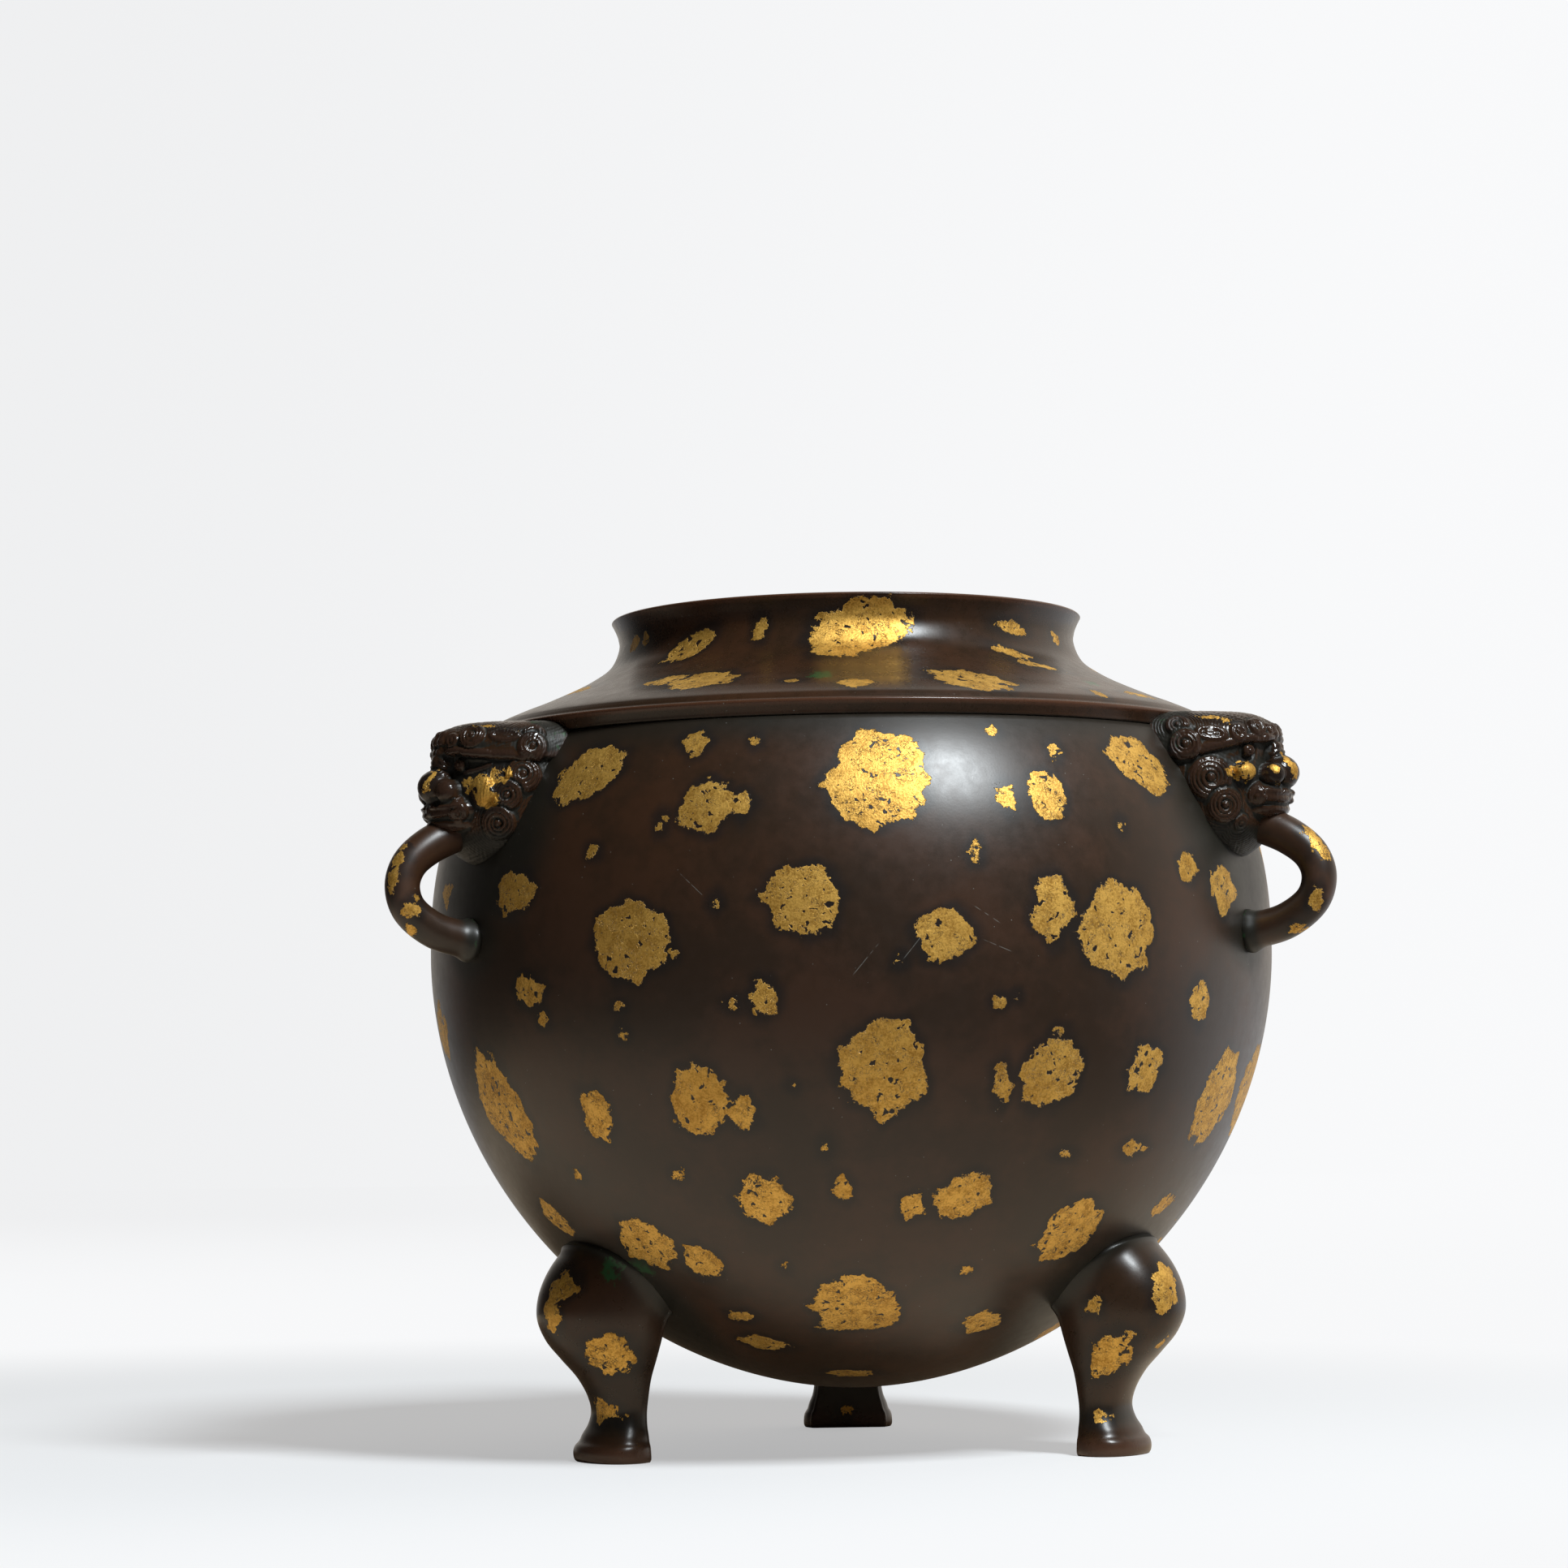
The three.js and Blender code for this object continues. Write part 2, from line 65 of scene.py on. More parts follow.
def stand_at(points, azimuth):
    """Turns points (out, side, up) about the axis: x = out cos a - side sin a,
    y = out sin a + side cos a."""
    turn = np.radians(azimuth)
    out, side = points[..., 0], points[..., 1]
    return np.stack(
        [
            out * np.cos(turn) - side * np.sin(turn),
            out * np.sin(turn) + side * np.cos(turn),
            points[..., 2],
        ],
        -1,
    )


print("axis", axis_place.round(5), "belly radius", round(belly_radius, 2), "mm")

# %% [markdown]
# A piece is a grid of points with four-sided faces between its rows and columns. Its two ends are
# closed with a fan of triangles round one point, or its last row joins its first, so that every
# piece is a closed skin. Numbers that the finishes need, such as how far each point lies from the
# edge of a gold splash, are stored on the points as marks. A mark that a piece lacks reads as 0.

# %% Grids of points become closed pieces
def grid_faces(rows, columns, ring=False):
    """Four corners for each cell of a grid whose columns wrap round, and whose rows do too in a
    ring."""
    last = rows if ring else rows - 1
    row = np.arange(last)[:, None]
    column = np.arange(columns)[None, :]
    above = (row + 1) % rows
    beside = (column + 1) % columns
    here = row * columns
    there = above * columns
    return np.stack([here + column, here + beside, there + beside, there + column], -1).reshape(-1, 4)


def end_fans(rows, columns):
    """Three corners for each side of the first row and of the last one, round the two points that
    are stored after the grid."""
    column = np.arange(columns)
    beside = (column + 1) % columns
    count = rows * columns
    first = np.stack([np.full(columns, count), beside, column], -1)
    start = count - columns
    last = np.stack([start + column, start + beside, np.full(columns, count + 1)], -1)
    return np.concatenate([first, last])


def volume(points, quads, fans):
    """Signed volume of a closed skin: the sum of its corner triangles' triple products over 6."""
    sides = np.concatenate([quads[:, [0, 1, 2]], quads[:, [0, 2, 3]], fans])
    a, b, c = points[sides[:, 0]], points[sides[:, 1]], points[sides[:, 2]]
    return np.einsum("ij,ij->i", a, np.cross(b, c)).sum() / 6


def make_piece(name, points, rows, columns, nodes, marks, ring=False):
    """Makes one mesh object from a grid's points in millimetres round the axis, and the two end
    points after them. A ring has no ends. A skin whose volume comes out below zero has its faces
    turned round, so that they point outwards."""
    quads = grid_faces(rows, columns, ring)
    fans = np.zeros((0, 3), int) if ring else end_fans(rows, columns)
    if volume(points, quads, fans) < 0:
        quads, fans = quads[:, ::-1], fans[:, ::-1]
    mesh = bpy.data.meshes.new(name)
    mesh.vertices.add(len(points))
    mesh.vertices.foreach_set("co", (points / 1000 + axis_place).astype(np.float32).ravel())
    corners = np.concatenate([quads.ravel(), fans.ravel()])
    starts = np.concatenate(
        [np.arange(len(quads)) * 4, len(quads) * 4 + np.arange(len(fans)) * 3]
    )
    mesh.loops.add(len(corners))
    mesh.loops.foreach_set("vertex_index", corners.astype(np.int32))
    mesh.polygons.add(len(starts))
    mesh.polygons.foreach_set("loop_start", starts.astype(np.int32))
    mesh.update(calc_edges=True)
    mesh.validate()
    mesh.shade_smooth()
    for mark, values in marks.items():
        layer = mesh.attributes.new(mark, "FLOAT", "POINT")
        layer.data.foreach_set("value", np.ravel(values).astype(np.float32))
    piece = bpy.data.objects.new(name, mesh)
    bpy.context.scene.collection.objects.link(piece)
    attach(piece, "root")
    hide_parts(*nodes)
    print(name, len(points), "points", 2 * len(quads) + len(fans), "triangles")
    return piece


# %% [markdown]
# A turned or cast outline is a handful of points with a smooth line through them. The curve used
# here passes through every point, and its bends stay tight where the points stand close together,
# which keeps the crisp edges of the ledge and the lip.

# %% Smooth lines through a few points
def smooth_line(points, per_span=24):
    """Centripetal Catmull-Rom curve: between two points it blends, by the knots' shares, the three
    straight lines through the neighbouring points."""
    p = np.asarray(points, float)
    p = np.concatenate([[2 * p[0] - p[1]], p, [2 * p[-1] - p[-2]]])
    step = np.sqrt(np.linalg.norm(np.diff(p, axis=0), axis=1))
    knot = np.concatenate([[0], np.cumsum(step)])
    p0, p1, p2, p3 = (p[i : len(p) - 3 + i, None] for i in range(4))
    t0, t1, t2, t3 = (knot[i : len(knot) - 3 + i, None, None] for i in range(4))
    t = t1 + (t2 - t1) * (np.arange(per_span) / per_span)[None, :, None]
    a1 = ((t1 - t) * p0 + (t - t0) * p1) / (t1 - t0)
    a2 = ((t2 - t) * p1 + (t - t1) * p2) / (t2 - t1)
    a3 = ((t3 - t) * p2 + (t - t2) * p3) / (t3 - t2)
    b1 = ((t2 - t) * a1 + (t - t0) * a2) / (t2 - t0)
    b2 = ((t3 - t) * a2 + (t - t1) * a3) / (t3 - t1)
    curve = ((t2 - t) * b1 + (t - t1) * b2) / (t2 - t1)
    return np.concatenate([curve.reshape(-1, p.shape[1]), p[-2:-1]])


def arc_of(line):
    """Length along a line at each of its points."""
    return np.concatenate([[0], np.cumsum(np.linalg.norm(np.diff(line, axis=0), axis=1))])


def spaced(line, count):
    """The same line with evenly spaced points."""
    arc = arc_of(line)
    at = np.linspace(0, arc[-1], count)
    return np.stack([np.interp(at, arc, line[:, k]) for k in range(line.shape[1])], -1)


def smoothstep(low, high, value):
    """0 below low, 1 above high, and 3t^2 - 2t^3 between."""
    t = np.clip((value - low) / (high - low), 0, 1)
    return t * t * (3 - 2 * t)


# %% [markdown]
# The belly is a sphere that is a little squarer than round. Its widest level stands above the
# middle, and below and above it the outline follows (r/R)^n + (h/H)^n = 1 with its own roundness.

# %% The belly's outline
widest_height = 105.0
belly_drop = 92.4
belly_rise = 72.0
drop_roundness = 1.94
rise_roundness = 2.4
wall = 3.6
seam_height = 149.25


def belly_line(shrink=0.0):
    """Outline from the bottom pole to the seam: r = R sin(t)^(2/n), z = widest - H cos(t)^(2/n)
    below, and the same with the rise above, moved inwards along its normal."""
    t = np.linspace(0, np.pi / 2, 700)
    radius = belly_radius * np.sin(t) ** (2 / drop_roundness)
    height = widest_height - belly_drop * np.cos(t) ** (2 / drop_roundness)
    up = t[::-1][1:]
    upper_radius = belly_radius * np.sin(up) ** (2 / rise_roundness)
    upper_height = widest_height + belly_rise * np.cos(up) ** (2 / rise_roundness)
    line = np.stack([np.append(radius, upper_radius), np.append(height, upper_height)], -1)
    along = np.gradient(line, axis=0)
    along /= np.linalg.norm(along, axis=1)[:, None]
    line = line - shrink * np.stack([along[:, 1], -along[:, 0]], -1)
    line = line[line[:, 1] < seam_height]
    line[0, 0] = 0.0
    return line


def belly_radius_at(height):
    """Radius of the outer skin at a height, from the outline's equation."""
    below = np.clip((widest_height - height) / belly_drop, 0, 1) ** drop_roundness
    above = np.clip((height - widest_height) / belly_rise, 0, 1) ** rise_roundness
    low = np.where(height < widest_height, (1 - below) ** (1 / drop_roundness), 0)
    high = np.where(height >= widest_height, (1 - above) ** (1 / rise_roundness), 0)
    return belly_radius * (low + high)


def level_of(points):
    """Share of the way from the bowl's middle to its outer skin, 1 on the skin."""
    radius = np.hypot(points[..., 0], points[..., 1]) / belly_radius
    up = points[..., 2] - widest_height
    low = (radius**drop_roundness + np.clip(-up / belly_drop, 0, None) ** drop_roundness) ** (
        1 / drop_roundness
    )
    high = (radius**rise_roundness + np.clip(up / belly_rise, 0, None) ** rise_roundness) ** (
        1 / rise_roundness
    )
    return np.where(up < 0, low, high)


outer_belly = spaced(belly_line(), 172)
inner_belly = spaced(belly_line(wall), 22)
print("belly outline", round(arc_of(outer_belly)[-1], 1), "mm from pole to seam")

# %% [markdown]
# The gold is leaf or amalgam laid on in blotches of every size. A blotch is given here by where it
# lies, a direction round the bowl in degrees and a level in millimetres, and by how wide and how
# tall it is. Some also lean, by degrees. The edge is a wavy ring, and its waves come from a few
# seeded harmonics, so no two blotches are alike.

# %% Where the gold lies
belly_gold = [
    (272, 136, 21, 20, -20), (229, 139, 17, 12, 20), (246, 144, 6, 5), (255, 144, 1.6, 2),
    (289, 146, 2.4, 2.5), (298, 142, 3, 4), (313, 140, 15, 13, -30), (249, 131, 11, 10, 35),
    (254, 131, 4, 5), (243, 128, 2, 3), (289, 132, 4, 6), (295, 133, 9, 10),
    (233, 123, 2.8, 2.3), (284, 121, 2.6, 3.3), (306, 127, 1.6, 2), (318, 119, 6, 6),
    (326, 115, 10, 10), (219, 116, 11, 9), (262, 112, 16, 13, -15), (280, 105, 11, 11, -20),
    (294, 110, 9, 13), (304, 106, 18, 19), (239, 105, 17, 15), (251, 112, 1.3, 1.9),
    (245, 102, 1.7, 1.6), (274, 100, 2.2, 2.2), (198, 117, 6, 5), (222, 96, 8, 6),
    (224, 90, 2.8, 3), (257, 93, 5, 7), (253, 92, 2.3, 1.6), (237, 92, 1.9, 1.6),
    (237, 87, 2.3, 2.3), (287, 92, 2.3, 2.2), (289, 93, 1.4, 1.3), (320, 92, 7, 8, 25),
    (191, 89, 12, 12), (209, 73, 17, 25, 25), (230, 71, 8, 11), (247, 74, 12, 14),
    (253, 71, 5, 7), (272, 79, 17, 19), (295, 78, 12, 16, -15), (288, 76, 4, 7),
    (311, 79, 9, 10), (331, 73, 16, 20, -20), (260, 76, 1.3, 1.3), (264, 64, 1.3, 2.1),
    (313, 63, 6, 3.2), (300, 62, 2.6, 1.4), (241, 59, 2.6, 2.5), (222, 59, 2.4, 1.9),
    (254, 54, 10, 11), (266, 56, 3.2, 5, 15), (277, 52, 5, 6), (285, 54, 12, 10, 35),
    (330, 51, 8, 5, 20), (208, 50, 10, 7, -35), (229, 45, 13, 13, 20), (239, 41, 8, 9),
    (307, 46.5, 15, 15.5, -10), (255, 40, 1.3, 1.7), (289, 39, 2.4, 2.2), (268, 32, 18, 18),
    (241, 30, 5, 3.7), (241, 24, 10, 6, -20), (300, 28, 9, 8), (265, 17, 10, 5),
]
neck_gold = [
    (271, 168.5, 24, 12, 22), (228, 167, 12, 7, 35), (247, 170, 2.5, 4), (312, 171, 7, 3),
    (203, 170, 4, 4), (209, 171, 2.7, 2.3), (331, 170, 3, 3), (242, 158, 14, 10, 15),
    (233, 159, 10, 5, 15), (289, 157, 17, 12, -25), (269, 156, 6, 6), (259, 157, 2.6, 2),
    (308, 165, 8, 3, -20), (312, 162, 10, 3, -20), (311, 155, 2.7, 4), (200, 160, 19, 4),
    (325, 156, 9, 4),
]


def scattered(seed, count, turns, heights, largest):
    """More blotches of the same kind for the sides that the photograph doesn't show: sizes follow a
    falling spread, and a place too near an earlier blotch is left empty."""
    dice = np.random.default_rng(seed)
    found = []
    for _ in range(count * 20):
        turn = dice.uniform(*turns)
        height = dice.uniform(*heights)
        size = 1.4 + (largest - 1.4) * dice.random() ** 1.6
        near = [
            np.hypot((turn - f[0]) * 1.5 * min(1, belly_radius_at(height) / 85), height - f[1])
            < 0.6 * (size + f[2]) + 2
            for f in found
        ]
        if not any(near):
            found.append((turn, height, size * dice.uniform(0.75, 1.2), size, dice.uniform(-40, 40)))
        if len(found) == count:
            break
    return found


belly_gold += scattered(11, 92, (-22, 186), (16, 145), 22)
neck_gold += scattered(12, 20, (-20, 192), (155, 171), 17)
print(len(belly_gold), "blotches on the belly,", len(neck_gold), "on the shoulder and neck")


# %% How far each point lies from the gold
def waves(places, seed, size, strength):
    """A smooth random push: six sine waves in seeded directions, of about one size."""
    dice = np.random.default_rng(seed)
    total = np.zeros(places.shape[:-1])
    for _ in range(6):
        way = dice.normal(size=places.shape[-1])
        way *= dice.uniform(0.7, 1.5) * 2 * np.pi / (size * np.linalg.norm(way))
        total += np.sin(places @ way + dice.uniform(0, 6.3))
    return strength * total / 2.4


# the distance in millimetres that stands for no gold, and an arc length that no blotch reaches
no_gold = 4.0
beyond_gold = 1000.0


def blotch_distance(across, along, width, height, lean, seed):
    """Millimetres outside a blotch's edge, below zero in the gold: (rho / edge - 1) * half size,
    where rho is 1 on the ellipse and edge = 1 + the sum of a_k cos(k t + phase_k)."""
    dice = np.random.default_rng(seed)
    turn = np.radians(lean)
    x = (across * np.cos(turn) + along * np.sin(turn)) / (width / 2)
    y = (along * np.cos(turn) - across * np.sin(turn)) / (height / 2)
    rho, theta = np.hypot(x, y), np.arctan2(y, x)
    edge = np.ones_like(rho)
    for k in range(2, 12):
        edge += 0.11 * k**-0.6 * dice.uniform(-1, 1) * np.cos(k * theta + dice.uniform(0, 6.3))
    return (rho / edge - 1) * min(width, height) / 2


def gold_field(turn, radius, arc, gold, arc_at, places):
    """The smallest blotch distance at each point, at most no_gold, on a surface where a step round
    the axis measures radius times its angle."""
    field = np.full(turn.shape, no_gold)
    push = waves(places, 5, 7.0, 0.55)
    lift = waves(places, 6, 7.0, 0.55)
    for number, (at, height, width, tall, *lean) in enumerate(gold):
        away = (turn - at + 180) % 360 - 180
        across = np.radians(away) * radius
        along = arc - arc_at(height)
        close = (np.abs(across) < width + tall + 4) & (np.abs(along) < width + tall + 4)
        share = min(1.0, min(width, tall) / 8)
        found = blotch_distance(
            across[close] + share * push[close],
            along[close] + share * lift[close],
            width,
            tall,
            (lean or [0])[0],
            900 + number,
        )
        field[close] = np.minimum(field[close], found)
    return field


# %% [markdown]
# The belly's skin goes from the bottom pole up the outside to a seam in the groove under the
# ledge, over the wall, and down the inside to the inner pole. The outside has fine rows because the
# gold's outline is stored on its points. The inside is plain, so it gets few rows.

# %% The belly
columns = 480
round_turns = np.arange(columns) * 360 / columns


def revolve(line):
    """Each outline point (r, z) carried round the axis: (r cos a, r sin a, z)."""
    turn = np.radians(round_turns)[None, :]
    radius, height = line[:, 0:1], line[:, 1:2]
    return np.stack(
        [radius * np.cos(turn), radius * np.sin(turn), height + 0 * turn], -1
    )


def under_arch(turn, height, near, wide, tall, middle):
    """1 at a leg or handle and 0 away from it: a soft ellipse round its place on the skin."""
    away = np.abs((turn - near + 180) % 360 - 180)
    return 1 - smoothstep(0.5, 1.25, np.hypot(away / wide, (height - middle) / tall))


def soot_and_shade_on_bowl(turn, height):
    """Sooty dirt and painted shade: darker round the masks, round the legs and under the ledge."""
    total = 0.75 * smoothstep(137, 150, height) * (height < 150)
    for near in handle_turns.values():
        total = np.maximum(total, 0.9 * under_arch(turn, height, near, 20, 30, 132))
        total = np.maximum(total, 0.8 * under_arch(turn, height, near, 9, 10, 107))
    for near in leg_turns.values():
        total = np.maximum(total, 0.9 * under_arch(turn, height, near, 24, 17, 33))
    return total


outside = revolve(outer_belly[1:])
inside = revolve(inner_belly[1:][::-1])
belly_points = np.concatenate([outside, inside])
rows = len(belly_points)
turn_grid = np.broadcast_to(round_turns, belly_points.shape[:2])
height_grid = belly_points[..., 2]
outer_arc = arc_of(outer_belly)
arc_rows = np.append(outer_arc[1:], np.full(len(inside), beyond_gold))
radius_grid = np.hypot(belly_points[..., 0], belly_points[..., 1])
belly_field = gold_field(
    turn_grid,
    radius_grid,
    np.broadcast_to(arc_rows[:, None], turn_grid.shape),
    belly_gold,
    lambda height: np.interp(height, outer_belly[:, 1], outer_arc),
    belly_points,
)
inside_rows = np.arange(rows)[:, None] >= len(outside)
green_reach = np.hypot(np.radians(turn_grid - 224.5) * radius_grid, (height_grid - 40.5) * 1.3)
belly_green = np.where(inside_rows, 0, np.exp(-((green_reach / 4.5) ** 2)))
belly_marks = {
    "gold": np.append(belly_field, [no_gold, no_gold]),
    "soot_and_shade": np.append(np.where(inside_rows, 0, soot_and_shade_on_bowl(turn_grid, height_grid)), [0, 0]),
    "inside": np.append(np.where(inside_rows, 1.0, 0 * turn_grid), [0, 1]),
    "green": np.append(belly_green, [0, 0]),
}
poles = [[0, 0, outer_belly[0, 1]], [0, 0, inner_belly[0, 1]]]
belly = make_piece(
    "belly",
    np.concatenate([belly_points.reshape(-1, 3), poles]),
    rows,
    columns,
    ["vessel_body"],
    belly_marks,
)

# %% [markdown]
# The shoulder, neck and lip are one ring: from the seam over the ledge's rolled edge, up the hollow
# shoulder to the neck, out to the lip, and down the inside to the seam again. The rows stand close
# at the ledge and at the lip, where the edge catches the light.

# %% The shoulder, neck and lip
ledge_line = smooth_line(
    [
        (76.55, 149.25), (76.6, 149.35), (77.05, 149.5), (77.35, 150.2), (77.9, 151.3),
        (78.3, 152.0), (78.2, 152.45), (77.4, 152.75), (76.8, 153.4), (76.2, 154.0),
    ],
    5,
)
shoulder_line = spaced(
    smooth_line(
        [(76.8, 153.4), (76.2, 154.0), (71.85, 156.0), (66.0, 158.3), (56.0, 163.0),
         (50.9, 166.8), (49.0, 171.4), (49.25, 173.5)],
    )[24:],
    62,
)
lip_line = smooth_line(
    [(49.0, 171.4), (49.25, 173.5), (49.9, 175.2), (50.45, 176.3), (50.6, 176.6),
     (50.3, 176.93), (49.9, 177.0), (47.6, 177.0), (47.35, 176.8), (47.2, 176.2),
     (46.2, 174.5)],
    4,
)[4:]
inner_line = smooth_line(
    [(46.2, 174.5), (45.5, 171.8), (47.4, 164.9), (53.2, 160.1), (63.6, 155.2),
     (70.2, 151.6), (72.75, 149.25)],
    3,
)
neck_line = np.concatenate([ledge_line[:-1], shoulder_line[:-1], lip_line[:-1], inner_line])
neck_line[:, 1] = np.minimum(neck_line[:, 1], 177.0)
lip_row = len(ledge_line) + len(shoulder_line) - 2 + 26
neck_points = revolve(neck_line)
turn_grid = np.broadcast_to(round_turns, neck_points.shape[:2])
neck_arc = arc_of(neck_line)
outer_rows = np.arange(len(neck_line)) <= lip_row
neck_field = gold_field(
    turn_grid,
    np.hypot(neck_points[..., 0], neck_points[..., 1]),
    np.broadcast_to(np.where(outer_rows, neck_arc, beyond_gold)[:, None], turn_grid.shape),
    neck_gold,
    lambda height: np.interp(height, neck_line[: lip_row + 1, 1], neck_arc[: lip_row + 1]),
    neck_points,
)


def near_line(line, place, reach):
    """1 at a point of the outline and 0 beyond a reach from it."""
    return 1 - smoothstep(0, reach, np.linalg.norm(line - np.array(place), axis=1))


edge_wear = np.maximum.reduce(
    [
        near_line(neck_line, (78.3, 152.1), 1.6),
        near_line(neck_line, (50.5, 176.7), 1.8),
        0.7 * near_line(neck_line, (48.6, 177.0), 2.0),
    ]
)
# painted shade, with sooty dirt, in the groove under the ledge
groove_soot_and_shade = near_line(neck_line, (76.6, 149.3), 1.2)


def green_near(turn, height):
    """Green rust in a small cloud round one place on the shoulder."""
    across = np.radians(turn_grid - turn) * 60
    return np.exp(-((across / 3.5) ** 2) - ((neck_points[..., 2] - height) / 1.3) ** 2)


past_lip = smoothstep(0, 8, neck_arc - neck_arc[lip_row])
neck_marks = {
    "gold": neck_field,
    "soot_and_shade": np.repeat(groove_soot_and_shade, columns),
    "inside": np.repeat(np.where(outer_rows, 0.0, past_lip), columns),
    "wear": np.repeat(edge_wear, columns),
    "green": 1.3 * np.maximum(green_near(263, 158.2), green_near(317, 157.8)) * outer_rows[:, None],
}
neck = make_piece(
    "shoulder_neck",
    neck_points.reshape(-1, 3),
    len(neck_line),
    columns,
    ["vessel_body"],
    neck_marks,
    ring=True,
)

# %% [markdown]
# A leg is a cabriole: a full knee against the bowl, a slim ankle, and a foot that spreads to a
# thin pad. Its back is flat with crisp corners and its front is round. Levels up the leg give the
# back, the front and the width, smooth lines run through them, and the ring at each height is built
# from those numbers.

# %% The leg's levels and rings
leg_levels = np.array(
    [
        # height, back, front, half width, flat back's share of the half width
        (0.0, 55.2, 66.1, 9.7, 0.86),
        (0.5, 55.0, 66.5, 10.0, 0.86),
        (1.9, 55.0, 66.7, 10.0, 0.86),
        (3.1, 55.0, 66.35, 9.8, 0.86),
        (4.1, 55.0, 65.4, 9.2, 0.865),
        (5.4, 55.0, 64.75, 8.8, 0.87),
        (7.4, 55.0, 63.5, 8.0, 0.89),
        (10.0, 54.9, 62.8, 7.6, 0.90),
        (13.0, 54.6, 63.6, 7.8, 0.89),
        (17.0, 54.1, 66.1, 8.5, 0.87),
        (21.0, 53.2, 69.9, 9.8, 0.83),
        (25.0, 52.3, 73.4, 11.1, 0.79),
        (29.5, 51.4, 75.3, 11.95, 0.76),
        (34.0, 50.8, 74.9, 12.1, 0.75),
        (39.0, 50.0, 72.6, 11.7, 0.74),
        (43.0, 49.2, 69.2, 10.6, 0.74),
        (46.0, 48.8, 64.0, 8.6, 0.74),
    ]
)
leg_squareness = 2.15


def power(share, exponent):
    """A power that keeps its sign."""
    return np.sign(share) * np.abs(share) ** exponent


def leg_ring(back, front, half, corner):
    """Outline of one level: a round front (cos and sin to the power 2/n), flanks that close in to
    the flat back, small round corners and a straight back."""
    middle = back + 0.42 * (front - back)
    turn = np.radians(np.linspace(-90, 90, 61))[None, :]
    nose_x = middle + (front - middle) * power(np.cos(turn), 2 / leg_squareness)
    nose_y = half * power(np.sin(turn), 2 / leg_squareness)
    t = np.linspace(0, 1, 15)[None, 1:]
    edge = 0.7
    flank_x = middle - (middle - back - edge) * t
    flank_y = half * (1 - (1 - corner) * t**2)
    bend = np.radians(np.linspace(0, 90, 6))[None, 1:]
    corner_x = back + edge * (1 - np.sin(bend))
    corner_y = corner * half - edge * (1 - np.cos(bend))
    flat_y = (corner * half - edge) * np.linspace(1, -1, 13)[None, 1:-1]
    flat_x = back + 0 * flat_y
    x = np.concatenate([nose_x, flank_x, corner_x, flat_x, corner_x[:, ::-1], flank_x[:, ::-1]], 1)
    y = np.concatenate([nose_y, flank_y, corner_y, flat_y, -corner_y[:, ::-1], -flank_y[:, ::-1]], 1)
    return x, y


def seated(points, depth=1.6):
    """Points deeper in the bowl's wall than the depth are pushed out along the line from the
    bowl's middle until they lie that deep."""
    centre = np.array([0, 0, widest_height])
    reach = np.linalg.norm(points - centre, axis=-1)
    level = level_of(points)
    least = 1 - depth / reach
    grow = np.where(level < least, least / level, 1.0)
    return centre + (points - centre) * grow[..., None]


print("leg levels", len(leg_levels))

# %% The three legs
leg_gold = {
    "left": [(73.8, 4.4, 36.0, 6.6, 5.2, 20), (75.2, 2.6, 30.4, 4.6, 6.6, 8),
             (64.7, 9.5, 22.4, 9.8, 7.6, -30),
             (63.3, 1.2, 11.0, 3.6, 5.0, 15), (62.6, 4.4, 9.9, 4.0, 2.0, -12)],
    "right": [(74.3, -4.4, 34.1, 7.4, 10.2, -14), (63.6, -9.2, 21.0, 10.4, 6.6, 38),
              (61.4, -12.1, 30.8, 3.0, 3.0, 0), (60.0, -7.4, 7.7, 2.5, 2.1, 0),
              (71.5, -2.0, 22.9, 2.2, 2.0, 0)],
    "back": [(73.0, 3.0, 31.0, 8.0, 8.0, 10), (62.0, -11.0, 20.0, 7.0, 6.0, 0),
             (55.0, 0.7, 3.8, 2.4, 2.8, 0), (64.0, 9.0, 14.0, 4.0, 3.0, 0)],
}


def spot_field(points, spots, seed, middle):
    """Blotches on a small part. Each has a place on it, and the line from the part's middle to that
    place gives the way it faces: distances are taken across that line and upwards, and points that
    lie behind the place by more than its own width are left out."""
    field = np.full(points.shape[:-1], no_gold)
    push = 0.5 * waves(points, seed, 4.0, 0.7)
    for number, (out, side, up, width, tall, lean) in enumerate(spots):
        facing = np.array([out - middle, side])
        facing /= np.linalg.norm(facing)
        offset = points - np.array([out, side, up])
        depth = offset[..., 0] * facing[0] + offset[..., 1] * facing[1]
        across = offset[..., 1] * facing[0] - offset[..., 0] * facing[1]
        found = blotch_distance(
            across + push, offset[..., 2] + push, width, tall, lean, seed + number
        )
        field = np.where(np.abs(depth) < max(width, 3.0), np.minimum(field, found), field)
    return field


def leg_points():
    """Rings up the leg, widened in a small hollow flare where they reach the bowl."""
    line = spaced(smooth_line(leg_levels), 130)
    x, y = leg_ring(*(line[:, k : k + 1] for k in range(1, 5)))
    points = np.stack([x, y, line[:, 0:1] + 0 * x], -1)
    gap = (level_of(points) - 1) * np.linalg.norm(points - [0, 0, widest_height], axis=-1)
    middle = np.stack([x.mean(1), 0 * x.mean(1)], -1)[:, None]
    away = points[..., :2] - middle
    away /= np.linalg.norm(away, axis=-1)[..., None]
    flare = 1.5 * np.exp(-((np.clip(gap, 0, None) / 1.5) ** 1.3))
    points[..., :2] += flare[..., None] * away
    return seated(points), gap


